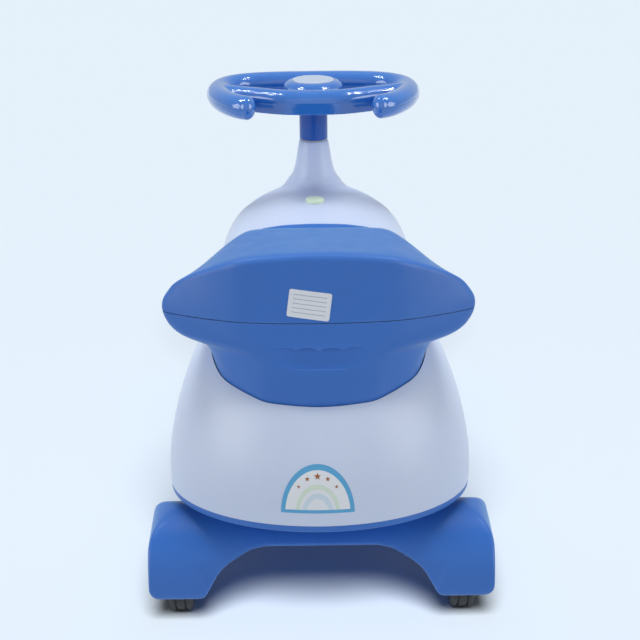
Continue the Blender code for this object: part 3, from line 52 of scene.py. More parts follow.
def only(piece=None):
    """Leaves nothing selected but this piece, which the next operators act on."""
    if bpy.context.object and bpy.context.object.mode != "OBJECT":
        bpy.ops.object.mode_set(mode="OBJECT")
    bpy.ops.object.select_all(action="DESELECT")
    if piece:
        piece.select_set(True)
        bpy.context.view_layer.objects.active = piece


def added(name):
    """The piece that an operator has just added, with its name."""
    piece = bpy.context.object
    piece.name = name
    piece.data.name = name
    return piece


def net(name, rows):
    """A grid whose points are pulled to their places, row after row."""
    only()
    bpy.ops.mesh.primitive_grid_add(x_subdivisions=len(rows[0]) - 1, y_subdivisions=len(rows) - 1)
    piece = added(name)
    places = [place for row in rows for place in row]
    for point, place in zip(piece.data.vertices, places):
        point.co = place
    return piece


def weld(piece):
    """Doubled points are merged and every face is turned outwards."""
    only(piece)
    bpy.ops.object.mode_set(mode="EDIT")
    bpy.ops.mesh.select_all(action="SELECT")
    bpy.ops.mesh.remove_doubles(threshold=0.00001)
    bpy.ops.mesh.normals_make_consistent(inside=False)
    bpy.ops.object.mode_set(mode="OBJECT")


def modify(piece, kind, **settings):
    """Adds one modifier with these settings and applies it."""
    only(piece)
    modifier = piece.modifiers.new(kind.lower(), kind)
    for setting, value in settings.items():
        setattr(modifier, setting, value)
    bpy.ops.object.modifier_apply(modifier=modifier.name)


def cut(piece, tool, operation="DIFFERENCE"):
    """Cuts one closed form with another, which is then thrown away."""
    modify(piece, "BOOLEAN", object=tool, operation=operation, solver="EXACT")
    bpy.data.objects.remove(tool, do_unlink=True)


def copied(piece, name):
    """A second piece with a mesh of its own."""
    twin = piece.copy()
    twin.data = piece.data.copy()
    twin.name = name
    bpy.context.scene.collection.objects.link(twin)
    return twin


def rounded(corners, steps=4):
    """A closed outline whose corners, given as (across, along, radius), are rounded off."""
    points = []
    for number, (across, along, radius) in enumerate(corners):
        here = Vector((across, along))
        if not radius:
            points.append((across, along))
            continue
        back = (Vector(corners[number - 1][:2]) - here).normalized()
        ahead = (Vector(corners[(number + 1) % len(corners)][:2]) - here).normalized()
        half = back.angle(ahead) / 2
        centre = here + (back + ahead).normalized() * radius / math.sin(half)
        first = here + back * radius / math.tan(half) - centre
        last = here + ahead * radius / math.tan(half) - centre
        for k in range(steps + 1):
            mixed = first.lerp(last, k / steps).normalized() * radius
            points.append(tuple(centre + mixed))
    return points


def spun(name, section, centre, axis="Z", steps=96):
    """A closed section of (radius, height) points, spun once round an axis."""
    along = {"X": Vector((1, 0, 0)), "-X": Vector((-1, 0, 0)), "Z": Vector((0, 0, 1))}[axis]
    outward = Vector((0, 1, 0))
    only()
    bpy.ops.mesh.primitive_circle_add(vertices=len(section))
    piece = added(name)
    for point, (radius, height) in zip(piece.data.vertices, section):
        point.co = Vector(centre) + outward * radius + along * height
    bpy.ops.object.mode_set(mode="EDIT")
    bpy.ops.mesh.select_all(action="SELECT")
    bpy.ops.mesh.spin(steps=steps, angle=2 * math.pi, center=centre, axis=along)
    weld(piece)
    return piece


def drilled(piece, place, radius, low, high, steps=64):
    """A round hole along Z, from one height to another."""
    only()
    bpy.ops.mesh.primitive_cylinder_add(
        vertices=steps, radius=radius, depth=high - low, location=(*place, (low + high) / 2))
    cut(piece, added("drill"))


def linear(code):
    """An sRGB hex colour as linear RGBA."""
    parts = [int(code[i:i + 2], 16) / 255 for i in (0, 2, 4)]
    return tuple(c / 12.92 if c <= 0.04045 else ((c + 0.055) / 1.055) ** 2.4
                 for c in parts) + (1.0,)


def finish(name, **values):
    """A new material and its tree, with these values on its shader's own sockets."""
    material = bpy.data.materials.new(name)
    material.use_nodes = True
    shader = material.node_tree.nodes["Principled BSDF"]
    for socket, value in values.items():
        shader.inputs[socket.replace("_", " ")].default_value = value
    return material, material.node_tree, shader


def add(tree, kind, settings, links=()):
    """Adds a node with its settings, and links other nodes' outputs to its inputs."""
    new = tree.nodes.new(kind)
    for setting, value in settings.items():
        if isinstance(setting, int) or setting in new.inputs:
            new.inputs[setting].default_value = value
        else:
            setattr(new, setting, value)
    for socket, output in links:
        tree.links.new(output, new.inputs[socket])
    return new


def clouded(tree, shader, scale, detail, darker, lighter):
    """Two close shades of a pigment in soft clouds; hands back the place and the tint."""
    place = add(tree, "ShaderNodeTexCoord", {})
    cloud = add(tree, "ShaderNodeTexNoise", {"Scale": scale, "Detail": detail},
                [("Vector", place.outputs["Object"])])
    tint = add(tree, "ShaderNodeMix", {"data_type": "RGBA", 6: linear(darker), 7: linear(lighter)},
               [("Factor", cloud.outputs["Fac"])])
    tree.links.new(tint.outputs[2], shader.inputs["Base Color"])
    return place, tint


def scuffed(tree, shader, place, pattern, spread):
    """Roughness that wanders over the surface with a pattern, spread over a range."""
    scuff = add(tree, "ShaderNodeTexNoise", pattern, [("Vector", place.outputs["Object"])])
    gloss = add(tree, "ShaderNodeMapRange", spread, [("Value", scuff.outputs["Fac"])])
    tree.links.new(gloss.outputs["Result"], shader.inputs["Roughness"])


def fit(piece, material, slot, body, *nodes, crease=40):
    """Shades and paints a finished piece, and hangs it on its body in place of its CAD nodes."""
    only(piece)
    bpy.ops.object.shade_smooth_by_angle(angle=math.radians(crease))
    piece.data.materials.clear()
    piece.data.materials.append(material)
    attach(piece, body)
    if nodes:
        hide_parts(*nodes)


# Satin moulded polypropylene: slightly milky, with soft wide highlights, a faint cloudiness
# in the pigment and a very shallow ripple from the cooling of the moulding.
white_moulding, tree, shader = finish(
    "white_satin_polypropylene", Roughness=0.36, IOR=1.49,
    Subsurface_Weight=0.06, Subsurface_Scale=0.004)
place = clouded(tree, shader, 16.0, 3.0, SHELL_SHADE, SHELL_COLOUR)[0]
scuffed(tree, shader, place, {"Scale": 90.0, "Detail": 6.0, "Roughness": 0.65},
        {"From Min": 0.35, "From Max": 0.7, "To Min": 0.31, "To Max": 0.43})
# The real sheen's grain is about 0.1 mm, too fine to show, so it is drawn at 1.5 mm.
grain = add(tree, "ShaderNodeTexNoise", {"Scale": 650.0, "Detail": 2.0},
            [("Vector", place.outputs["Object"])])
relief = add(tree, "ShaderNodeBump", {"Strength": 0.05, "Distance": 0.0004},
             [("Height", grain.outputs["Fac"])])
tree.links.new(relief.outputs["Normal"], shader.inputs["Normal"])

# The shell is drawn as one half: eleven stations from the tail's middle round to the nose's.
# Each gives its rim, how far flank and shoulder lie inside it across and along, and the
# heights of its shoulder and its crown.
TAIL_Y = -0.360
TAIL_HALF = 0.143
TAIL_DEPTH = 0.120
TAIL_SWELL = 6 / (4 + 2 * math.cos(math.radians(30)))
stations = []
for degrees in (0, 30, 60, 90):
    angle = math.radians(degrees)
    stations.append((TAIL_HALF * TAIL_SWELL * math.sin(angle),
                     TAIL_Y + TAIL_DEPTH - TAIL_DEPTH * TAIL_SWELL * math.cos(angle)))
stations += [(0.133, -0.155), (0.109, -0.060), (0.109, 0.030), (0.1154, 0.130),
             (0.1075, 0.245), (0.065, 0.330), (0.0, 0.375)]
slopes = [
    ((0.000, 0.004), (0.000, 0.018), 0.213, 0.217),
    ((0.003, 0.006), (0.014, 0.018), 0.223, 0.229),
    ((0.006, 0.006), (0.026, 0.018), 0.244, 0.250),
    ((0.012, 0.000), (0.041, 0.004), 0.268, 0.270),
    ((0.010, 0.000), (0.030, 0.000), 0.268, 0.270),
    ((0.002, 0.000), (0.012, 0.000), 0.262, 0.264),
    ((0.002, 0.000), (0.010, 0.000), 0.280, 0.288),
    ((0.002, 0.000), (0.021, 0.000), 0.289, 0.2995),
    ((0.018, -0.006), (0.062, -0.010), 0.276, 0.289),
    ((0.012, -0.014), (0.042, -0.036), 0.240, 0.256),
    ((0.000, -0.010), (0.000, -0.042), 0.218, 0.232),
]
rows = []
for (x, y), (flank, shoulder, shoulder_z, crown_z) in zip(stations, slopes):
    shoulder_x = max(x - shoulder[0], 0.0)
    crown_y = y + shoulder[1] * 1.3
    rows.append([
        (x, y, RIM_HEIGHT),
        (x * 1.006, y, RIM_HEIGHT + 0.030),
        (max(x - flank[0], 0.0), y + flank[1], RIM_HEIGHT + (shoulder_z - RIM_HEIGHT) * 0.60),
        (shoulder_x, y + shoulder[1], shoulder_z),
        (shoulder_x * 0.55, crown_y, crown_z),
        (0.0, crown_y, crown_z),
    ])
body_shell = net("white_body_shell", rows)
weld(body_shell)
modify(body_shell, "MIRROR", use_axis=(True, False, False), merge_threshold=0.00001)
modify(body_shell, "SUBSURF", levels=4, render_levels=4)
weld(body_shell)
modify(body_shell, "SOLIDIFY", thickness=SHELL_WALL, offset=-1.0, use_even_offset=True)

# In front of the neck the hood rises in a round cowl, whose sides show past it from behind.
COWL_RADIUS = 0.041
COWL_FOOT = 0.252
COWL_MIDDLE = 0.258
COWL_RISE = 0.0458
COWL_AHEAD = 0.040
cowl_section = [(0.0, COWL_FOOT)]
for degrees in range(98, -1, -7):
    angle = math.radians(degrees)
    cowl_section.append((COWL_RADIUS * math.sin(angle), COWL_MIDDLE + COWL_RISE * math.cos(angle)))
cut(body_shell, spun("cowl", cowl_section, (0, NECK_AXIS_Y + COWL_AHEAD, 0)), "UNION")
neck_section = [
    (NECK_BORE * 0.7, NECK_TOP), (0.0158, NECK_TOP), (0.0165, NECK_TOP - 0.0007),
    (0.0181, 0.334), (0.0196, 0.3245), (0.0207, 0.318), (0.0220, 0.312), (0.0237, 0.306),
    (0.0262, 0.300), (0.0297, 0.294), (0.0345, 0.2885), (0.0400, 0.2835), (0.0445, 0.2790),
    (0.0460, 0.268), (NECK_BORE * 0.7, 0.262),
]
cut(body_shell, spun("neck", neck_section, (0, NECK_AXIS_Y, 0)), "UNION")
drilled(body_shell, (0, NECK_AXIS_Y), NECK_BORE, 0.24, NECK_TOP + 0.01)

# Where the neck leaves the hood the moulding has no corner, so the seam is smoothed out.
SEAM_REACH = (0.022, 0.100)
SEAM_HEIGHT = (0.255, 0.302)
only(body_shell)
bpy.ops.object.mode_set(mode="EDIT")
bpy.ops.mesh.select_all(action="DESELECT")
mesh = bmesh.from_edit_mesh(body_shell.data)
for point in mesh.verts:
    reach = math.hypot(point.co.x, point.co.y - NECK_AXIS_Y)
    point.select = (SEAM_REACH[0] < reach < SEAM_REACH[1]
                    and SEAM_HEIGHT[0] < point.co.z < SEAM_HEIGHT[1])
mesh.select_flush_mode()
bpy.ops.mesh.vertices_smooth(factor=0.5, repeat=14)
bpy.ops.object.mode_set(mode="OBJECT")

# Saddle seat
# Two shells of blue polypropylene with a fine spark grain, screwed together from below: the
# saddle with its raised winged back, and the bucket below it with a finger grip behind.
SEAT_HALF = 0.139
SEAT_REAR = -0.326
SEAT_TIP = -0.278
SEAT_FRONT = 0.028
PARTING = 0.301
PARTING_GAP = 0.0008
SEAT_CLEARANCE = 0.0010
RIDGE = 0.358
DISH = 0.262
# Rows from the back's parting line over the saddle to the front and back underneath: where
# each row's middle and its side lie along and up, its share of the width, and its crease.
seat_rows = [
    ((SEAT_REAR, PARTING + 0.006), (SEAT_TIP, PARTING + 0.006), 1.09, 0.3),
    ((SEAT_REAR + 0.006, RIDGE + 0.006), (SEAT_TIP + 0.004, PARTING + 0.016), 1.06, 0.6),
    ((-0.194, RIDGE - 0.006), (SEAT_TIP + 0.014, PARTING + 0.010), 0.93, 0.7),
    ((-0.172, DISH + 0.026), (SEAT_TIP + 0.070, DISH + 0.016), 0.74, 0.0),
    ((-0.109, DISH), (-0.124, DISH + 0.006), 0.68, 0.0),
    ((SEAT_FRONT - 0.055, DISH + 0.014), (SEAT_FRONT - 0.060, DISH + 0.018), 0.58, 0.0),
    ((SEAT_FRONT, 0.294), (SEAT_FRONT - 0.014, 0.290), 0.50, 0.5),
    ((SEAT_FRONT + 0.002, DISH - 0.010), (SEAT_FRONT - 0.012, DISH - 0.008), 0.49, 0.0),
    ((SEAT_FRONT - 0.006, 0.192), (SEAT_FRONT - 0.022, 0.198), 0.44, 0.0),
    ((-0.109, 0.192), (-0.109, 0.198), 0.62, 0.0),
    ((SEAT_REAR, 0.192), (SEAT_TIP + 0.012, 0.198), 0.69, 0.0),
    ((SEAT_REAR - 0.018, 0.236), (SEAT_TIP + 0.004, 0.246), 0.755, 0.0),
    ((SEAT_REAR - 0.012, PARTING - 0.033), (SEAT_TIP + 0.004, PARTING - 0.035), 0.79, 0.3),
    ((SEAT_REAR - 0.006, PARTING - 0.023), (SEAT_TIP, PARTING - 0.025), 1.08, 0.2),
]
EDGE_ROW = 2
seat_columns = (0.0, 0.44, 0.54, 0.77, 1.0)
round_bend = (0.0, 0.15, 0.25, 0.55, 1.0)
straight_bend = (0.0, 0.0, 0.03, 0.46, 1.0)
rows = []
for number, (middle, side, share, _) in enumerate(seat_rows):
    bends = straight_bend if number == EDGE_ROW else round_bend
    rows.append([(SEAT_HALF * share * column,
                  middle[0] + (side[0] - middle[0]) * bend,
                  middle[1] + (side[1] - middle[1]) * bend)
                 for column, bend in zip(seat_columns, bends)])
seat_form = net("seat_form", rows + rows[:1])
only(seat_form)
bpy.ops.object.mode_set(mode="EDIT")
mesh = bmesh.from_edit_mesh(seat_form.data)
mesh.verts.ensure_lookup_table()
sharpness = mesh.edges.layers.float.new("crease_edge")
width = len(seat_columns)
for number, (_, _, _, sharp) in enumerate(seat_rows):
    for k in range(width - 1):
        first = number * width + k
        edge = mesh.edges.get((mesh.verts[first], mesh.verts[first + 1]))
        edge[sharpness] = sharp
for corners in ((13, 0, 1, 2), (12, 13, 2, 3), (11, 12, 3, 4), (10, 11, 4, 5), (9, 10, 5, 6),
                (8, 9, 6, 7)):
    mesh.faces.new([mesh.verts[number * width + width - 1] for number in corners])
bmesh.update_edit_mesh(seat_form.data)
weld(seat_form)
modify(seat_form, "MIRROR", use_axis=(True, False, False), merge_threshold=0.00001)
modify(seat_form, "SUBSURF", levels=4, render_levels=4)
weld(seat_form)


def prism(name, outline, start, end, axis):
    """A flat outline, filled and then extruded along X, Y or Z."""
    only()
    bpy.ops.mesh.primitive_circle_add(vertices=len(outline), fill_type="NGON")
    piece = added(name)
    order = {"X": (2, 0, 1), "Y": (0, 2, 1), "Z": (0, 1, 2)}[axis]
    for point, (across, up) in zip(piece.data.vertices, outline):
        triple = (across, up, start)
        point.co = [triple[k] for k in order]
    push = Vector([(0.0, 0.0, end - start)[k] for k in order])
    bpy.ops.object.mode_set(mode="EDIT")
    bpy.ops.mesh.select_all(action="SELECT")
    bpy.ops.mesh.extrude_region_move(TRANSFORM_OT_translate={"value": push})
    weld(piece)
    return piece


opening = copied(seat_form, "seat_opening")
modify(opening, "DISPLACE", strength=SEAT_CLEARANCE, mid_level=0.0)
cut(body_shell, opening)

for name, gap, edge in (("saddle", PARTING_GAP / 2, 0.10), ("bucket", -PARTING_GAP / 2, 0.45)):
    half = copied(seat_form, name)
    line = [(-0.40, PARTING + gap), (SEAT_TIP + 0.020, PARTING - 0.004 + gap),
            (SEAT_TIP + 0.060, DISH - 0.012 + gap), (0.10, DISH - 0.012 + gap)]
    block = prism("parting_block", line + [(0.10, edge), (-0.40, edge)], -0.2, 0.2, "X")
    cut(half, block)
saddle = bpy.data.objects["saddle"]
bucket = bpy.data.objects["bucket"]
bpy.data.objects.remove(seat_form, do_unlink=True)

# The finger grip: deepest under its four scallops, and running out to nothing at its foot.
GRIP_TOP = 0.2755
GRIP_FOOT = 0.2590
GRIP_HALF = 0.0500
GRIP_CORNER = 0.007
GRIP_DEPTH = 0.006
SCALLOP_RISE = 0.0022
grip = [(GRIP_HALF - GRIP_CORNER * (1 - math.sin(math.radians(a))),
         GRIP_FOOT + GRIP_CORNER * (1 - math.cos(math.radians(a)))) for a in range(0, 91, 15)]
grip += [(GRIP_HALF - GRIP_CORNER * (1 - math.cos(math.radians(a))),
          GRIP_TOP - GRIP_CORNER * (1 - math.sin(math.radians(a)))) for a in range(0, 91, 15)]
reach = GRIP_HALF - GRIP_CORNER
for scallop in range(4):
    start = reach - scallop * reach / 2
    for k in range(1, 9 if scallop < 3 else 8):
        grip.append((start - reach / 2 * k / 8,
                     GRIP_TOP + SCALLOP_RISE * math.sin(math.pi * k / 8)))
grip += [(-x, z) for x, z in reversed(grip[:14])]
slot = prism("grip_slot", grip, SEAT_REAR - 0.04, SEAT_REAR + 0.03, "Y")
surface = SEAT_REAR - 0.008
wedge = prism("grip_wedge", [
    (surface - 0.03, GRIP_FOOT - 0.003), (surface - 0.0005, GRIP_FOOT - 0.001),
    (surface + 0.75 * GRIP_DEPTH, GRIP_FOOT + 0.0045), (surface + GRIP_DEPTH, GRIP_TOP - 0.004),
    (surface + GRIP_DEPTH + 0.001, GRIP_TOP + 0.004), (surface - 0.03, GRIP_TOP + 0.004)],
    -0.06, 0.06, "X")
cut(slot, wedge, "INTERSECT")
cut(bucket, slot)

# Blue polypropylene with a spark-eroded grain: dull enough to spread the light, with a painted
# highlight that makes its convex edges a shade lighter.
blue_moulding, tree, shader = finish(
    "blue_grained_polypropylene", Roughness=0.42, IOR=1.49,
    Sheen_Weight=0.35, Sheen_Roughness=0.35, Sheen_Tint=(0.5, 0.9, 1.0, 1.0))
place, tint = clouded(tree, shader, 22.0, 4.0, "2F69C0", "3671C8")
# Painted highlight: the sharpest convex edges are mixed towards a lighter blue, as if lit there.
edge_highlight_geometry = add(tree, "ShaderNodeNewGeometry", {})
edges = add(tree, "ShaderNodeMapRange",
            {"From Min": 0.52, "From Max": 0.60, "To Min": 0.0, "To Max": 0.35},
            [("Value", edge_highlight_geometry.outputs["Pointiness"])])
lighter = add(tree, "ShaderNodeMix", {"data_type": "RGBA", 7: linear("6C9DE0")},
              [("Factor", edges.outputs["Result"]), (6, tint.outputs[2])])
tree.links.new(lighter.outputs[2], shader.inputs["Base Color"])
scuffed(tree, shader, place, {"Scale": 60.0, "Detail": 5.0},
        {"From Min": 0.3, "From Max": 0.7, "To Min": 0.36, "To Max": 0.48})
# The grain's real pitch is 0.3 mm, and it is drawn at 1.2 mm so that it shows.
grain = add(tree, "ShaderNodeTexVoronoi", {"Scale": 850.0}, [("Vector", place.outputs["Object"])])
relief = add(tree, "ShaderNodeBump", {"Strength": 0.12, "Distance": 0.0003},
             [("Height", grain.outputs["Distance"])])
tree.links.new(relief.outputs["Normal"], shader.inputs["Normal"])

fit(saddle, blue_moulding, "blue_plastic", "car_body", "seat_top")
fit(bucket, blue_moulding, "blue_plastic", "car_body", "seat_base")

# Hood plug
# A round press-in plug in pale green plastic that closes the hole over the hood's screw. Its
# face is slightly domed, and it sits in a shallow dimple of the hood.
PLUG_Y = 0.106
PLUG_RADIUS = 0.01025
PLUG_FLOOR = 0.2945
drilled(body_shell, (0, PLUG_Y), PLUG_RADIUS + 0.0003, PLUG_FLOOR - 0.0003, 0.32)
plug = spun("hood_plug_cap", [
    (0.0, PLUG_FLOOR), (PLUG_RADIUS, PLUG_FLOOR), (PLUG_RADIUS, PLUG_FLOOR + 0.0032),
    (PLUG_RADIUS - 0.0005, PLUG_FLOOR + 0.0038), (PLUG_RADIUS * 0.75, PLUG_FLOOR + 0.0041),
    (PLUG_RADIUS * 0.4, PLUG_FLOOR + 0.0043), (0.0, PLUG_FLOOR + 0.0044)], (0, PLUG_Y, 0))
green_plug, tree, shader = finish("pale_green_polyethylene", Roughness=0.40, IOR=1.50,
                                  Subsurface_Weight=0.10, Subsurface_Scale=0.002)
clouded(tree, shader, 180.0, 3.0, "D6EED2", "E2F4DE")
fit(plug, green_plug, "green_plastic", "car_body", "hood_plug")
fit(body_shell, white_moulding, "white_plastic", "car_body", "body_upper_shell", crease=35)

# Floor pan
# A blue polypropylene tray that closes the body from below. Its band stands out a little
# under the white rim all round, and widens into a foot rest on either side of the hood.
PAN_BOTTOM = 0.1107
PAN_TOP = 0.1167
PAN_FLOOR = 0.1137
FOOT_REST = 0.134
FLOOR_BUSH_RADIUS = 0.0148
SCREW_HOLE = 0.0024


def curve(controls, steps):
    """Points along a smooth line that the controls pull after them, some for each control."""
    line = []
    for i in range(len(controls) - 3):
        a, b, c, d = (Vector(p) for p in controls[i:i + 4])
        for k in range(steps):
            t = k / steps
            line.append((a * (1 - t) ** 3 + b * (3 * t ** 3 - 6 * t ** 2 + 4)
                         + c * (-3 * t ** 3 + 3 * t ** 2 + 3 * t + 1) + d * t ** 3) / 6)
    return line


def smoothed(half, steps):
    """A closed smooth outline that follows the controls of its +X half, tail first."""
    controls = [(-half[1][0], half[1][1]), *half, (-half[-2][0], half[-2][1])]
    side = curve(controls, steps)
    a, b, c = (Vector(p) for p in controls[-3:])
    side.append((a + 4 * b + c) / 6)
    right = [tuple(p) for p in side]
    return right + [(-x, y) for x, y in reversed(right[1:-1])]


def widened(outline, distance):
    """Each point of a closed anticlockwise outline, moved outwards."""
    moved = []
    for i, (x, y) in enumerate(outline):
        after = outline[(i + 1) % len(outline)]
        along = (Vector(after) - Vector(outline[i - 1])).normalized()
        moved.append((x + along.y * distance, y - along.x * distance))
    return moved


pan_controls = stations[:5] + [
    (0.12208, -0.060), (FOOT_REST * 1.02, 0.030), (FOOT_REST * 1.03, 0.130),
    (FOOT_REST * 0.94, 0.245), (0.06944, 0.330), (0.0, 0.375)]
pan = prism("floor_tray", widened(smoothed(pan_controls, 10), -0.0006), PAN_BOTTOM, PAN_TOP, "Z")
modify(pan, "BEVEL", width=0.0010, segments=3, limit_method="ANGLE", angle_limit=math.radians(60))
well = prism("tray_well", widened(smoothed(stations, 10), -0.005), PAN_FLOOR, PAN_TOP + 0.01, "Z")
cut(pan, well)
drilled(pan, (0.0, NECK_AXIS_Y), FLOOR_BUSH_RADIUS, PAN_BOTTOM - 0.01, PAN_TOP)
body_screws = [(side * x, y) for x, y in ((0.06006, -0.336), (0.100, -0.060), (0.0616, 0.275))
               for side in (-1, 1)]
housing_bolts = [(side * 0.060, y) for y in (-0.302, -0.258) for side in (-1, 1)]
for hole in body_screws + housing_bolts:
    drilled(pan, hole, SCREW_HOLE, PAN_BOTTOM - 0.01, PAN_TOP, steps=20)

# Ribs across each foot rest keep a shoe from sliding off it.
RIB_SIZE = (0.013, 0.003, 0.0018)
RIB_PITCH = 0.013
RIB_X = 0.1245
FIRST_RIB_Y = 0.060
ribs = []
for side in (-1, 1):
    for k in range(7):
        only()
        bpy.ops.mesh.primitive_cube_add(
            size=1, scale=RIB_SIZE,
            location=(side * RIB_X, FIRST_RIB_Y + RIB_PITCH * k, PAN_TOP + 0.0003))
        rib = added("foot_rest_rib")
        modify(rib, "BEVEL", width=0.0008, segments=3)
        ribs.append(rib)
only(pan)
for rib in ribs:
    rib.select_set(True)
bpy.ops.object.join()
fit(pan, blue_moulding, "blue_plastic", "car_body", "body_lower_shell")

# Rear axle housing
# One blue moulding bolted under the tail: a beam with an arched underside and a rounded pod
# at each end, open below, that covers its wheel.
AXLE_Y = -0.280
AXLE_Z = 0.048
POD_OUTER = 0.1615
POD_INNER = 0.1085
POD_FOOT = 0.030
POD_CORNER = 0.027
HOUSING_ROUND = 0.055
HOUSING_HALF = 0.070
HOUSING_TOP = 0.1104
BEAM_UNDER = 0.0795
PAD_SIZE = (0.140, 0.058)
WELL_RADIUS = 0.0515
WELL_INNER = 0.1115
WELL_OUTER = 0.1585
AXLE_BORE = 0.0043
rear_view = [
    (POD_OUTER, 0.1033, POD_CORNER), (POD_OUTER, POD_FOOT, 0.010),
    (POD_INNER + 0.001, POD_FOOT, 0.008), (POD_INNER - 0.0165, BEAM_UNDER - 0.0165, 0.045),
    (POD_INNER - 0.046, BEAM_UNDER, 0.045)]
rear_view += [(-x, z, radius) for x, z, radius in reversed(rear_view)]
housing = prism("axle_housing", rounded(rear_view, 12),
                AXLE_Y - HOUSING_HALF, AXLE_Y + HOUSING_HALF, "Y")
only()
bpy.ops.mesh.primitive_cylinder_add(vertices=160, radius=HOUSING_ROUND, depth=0.36,
                                    location=(0, AXLE_Y, AXLE_Z), rotation=(0, math.pi / 2, 0))
cut(housing, added("fender_round"), "INTERSECT")

# The beam's rear face lies a little behind the pods', and runs into them in a soft hollow.
hollow = prism("beam_hollow", rounded([
    (-0.104, 0.020, 0), (0.104, 0.020, 0), (0.128, 0.112, 0.030), (-0.128, 0.112, 0.030)], 8),
    AXLE_Y - 0.080, AXLE_Y - 0.0515, "Y")
cut(housing, hollow)
modify(housing, "REMESH", mode="VOXEL", voxel_size=0.0013, adaptivity=0.0)
modify(housing, "SMOOTH", factor=0.5, iterations=40)
only()
bpy.ops.mesh.primitive_cube_add(
    size=1, location=(0, AXLE_Y, (BEAM_UNDER + 0.010 + HOUSING_TOP) / 2),
    scale=(*PAD_SIZE, HOUSING_TOP - BEAM_UNDER - 0.010))
cut(housing, added("bolt_pad"), "UNION")
for side, turn in ((-1, "-X"), (1, "X")):
    well_section = rounded([
        (0.0, WELL_OUTER, 0), (WELL_RADIUS, WELL_OUTER, 0.0238),
        (WELL_RADIUS, WELL_INNER, 0), (0.0, WELL_INNER, 0)], 8)
    well = spun("wheel_well", well_section, (0, AXLE_Y, AXLE_Z), turn)
    only()
    bpy.ops.mesh.primitive_cube_add(size=1, location=(side * 0.135, AXLE_Y, 0.033),
                                    scale=(0.0464, 0.0999, 0.026))
    cut(well, added("well_mouth"), "UNION")
    cut(housing, well)
    only()
    bpy.ops.mesh.primitive_cylinder_add(
        vertices=48, radius=AXLE_BORE, depth=0.070,
        location=(side * 0.1395, AXLE_Y, AXLE_Z), rotation=(0, math.pi / 2, 0))
    cut(housing, added("axle_bore"))
for hole in housing_bolts:
    drilled(housing, hole, SCREW_HOLE, 0.090, HOUSING_TOP + 0.01, steps=20)
fit(housing, blue_moulding, "blue_plastic", "car_body", "rear_axle_housing", crease=38)

# Axle caps
# Bright pressed steel caps pushed on the ends of the rear axles, outside each pod.
CAP_RADIUS = 0.011
CAP_BACK = POD_OUTER + 0.0003
CAP_FLANGE = POD_OUTER + 0.0008
CAP_CROWN = POD_OUTER + 0.0015
bright_steel, tree, shader = finish("bright_pressed_steel", Metallic=1.0, Roughness=0.14,
                                    Base_Color=linear("D8DADD"))
place = add(tree, "ShaderNodeTexCoord", {})
scuffed(tree, shader, place, {"Scale": 300.0, "Detail": 4.0}, {"To Min": 0.08, "To Max": 0.24})
for turn, tag in (("-X", "left"), ("X", "right")):
    cap = spun("axle_end_cap_" + tag, rounded([
        (0.0, CAP_BACK, 0), (CAP_RADIUS, CAP_BACK, 0.0002), (CAP_RADIUS, CAP_FLANGE, 0.0002),
        (0.0078, CAP_FLANGE, 0.0003), (0.0068, CAP_CROWN, 0.0008), (0.0, CAP_CROWN, 0)]),
        (0, AXLE_Y, AXLE_Z), turn)
    fit(cap, bright_steel, "bright_cap", "car_body", "rear_axle_cap_" + tag)

# Road wheels
# Each wheel is a black polypropylene hub with six round lightening holes, in a soft black
# polyurethane tread that is moulded round it with two grooves.
WHEEL_RADIUS = 0.048
TREAD_HALF = 0.011
TREAD_ROUND = 0.004
GROOVE_DEPTH = 0.0016
GROOVE_EDGE = 0.0003
HUB_RIM = 0.039
HUB_RIM_INSIDE = 0.0362
HUB_DISC = 0.0345
HUB_DISC_HALF = 0.0042
HUB_BOSS = 0.0096
HUB_BORE = 0.0046
HUB_FILLET = 0.0015
HUB_EDGE = 0.0006
HOLE_CIRCLE = 0.0222
HOLE_RADIUS = 0.0068
hub_plastic, tree, shader = finish("black_moulded_polypropylene", Roughness=0.45, IOR=1.49)
place = clouded(tree, shader, 70.0, 5.0, "15161A", "24262B")[0]
grain = add(tree, "ShaderNodeTexVoronoi", {"Scale": 900.0}, [("Vector", place.outputs["Object"])])
relief = add(tree, "ShaderNodeBump", {"Strength": 0.15, "Distance": 0.0003},
             [("Height", grain.outputs["Distance"])])
tree.links.new(relief.outputs["Normal"], shader.inputs["Normal"])

tread_rubber, tree, shader = finish("black_cast_polyurethane", Roughness=0.62, IOR=1.5)
place = add(tree, "ShaderNodeTexCoord", {})
dust = add(tree, "ShaderNodeTexNoise", {"Scale": 120.0, "Detail": 7.0, "Roughness": 0.7},
           [("Vector", place.outputs["Object"])])
dusty = add(tree, "ShaderNodeMapRange", {"From Min": 0.45, "From Max": 0.75},
            [("Value", dust.outputs["Fac"])])
tint = add(tree, "ShaderNodeMix", {"data_type": "RGBA", 6: linear("0C0C0D"), 7: linear("202022")},
           [("Factor", dusty.outputs["Result"])])
tree.links.new(tint.outputs[2], shader.inputs["Base Color"])
relief = add(tree, "ShaderNodeBump", {"Strength": 0.25, "Distance": 0.0004},
             [("Height", dust.outputs["Fac"])])
tree.links.new(relief.outputs["Normal"], shader.inputs["Normal"])

tread_section = [(HUB_RIM + 0.0003, -TREAD_HALF, 0), (WHEEL_RADIUS, -TREAD_HALF, TREAD_ROUND)]
for groove in (-0.0045, 0.0045):
    tread_section += [(WHEEL_RADIUS, groove - 0.0010, GROOVE_EDGE),
                      (WHEEL_RADIUS - GROOVE_DEPTH, groove - 0.0006, GROOVE_EDGE),
                      (WHEEL_RADIUS - GROOVE_DEPTH, groove + 0.0006, GROOVE_EDGE),
                      (WHEEL_RADIUS, groove + 0.0010, GROOVE_EDGE)]
tread_section += [(WHEEL_RADIUS, TREAD_HALF, TREAD_ROUND), (HUB_RIM + 0.0003, TREAD_HALF, 0)]
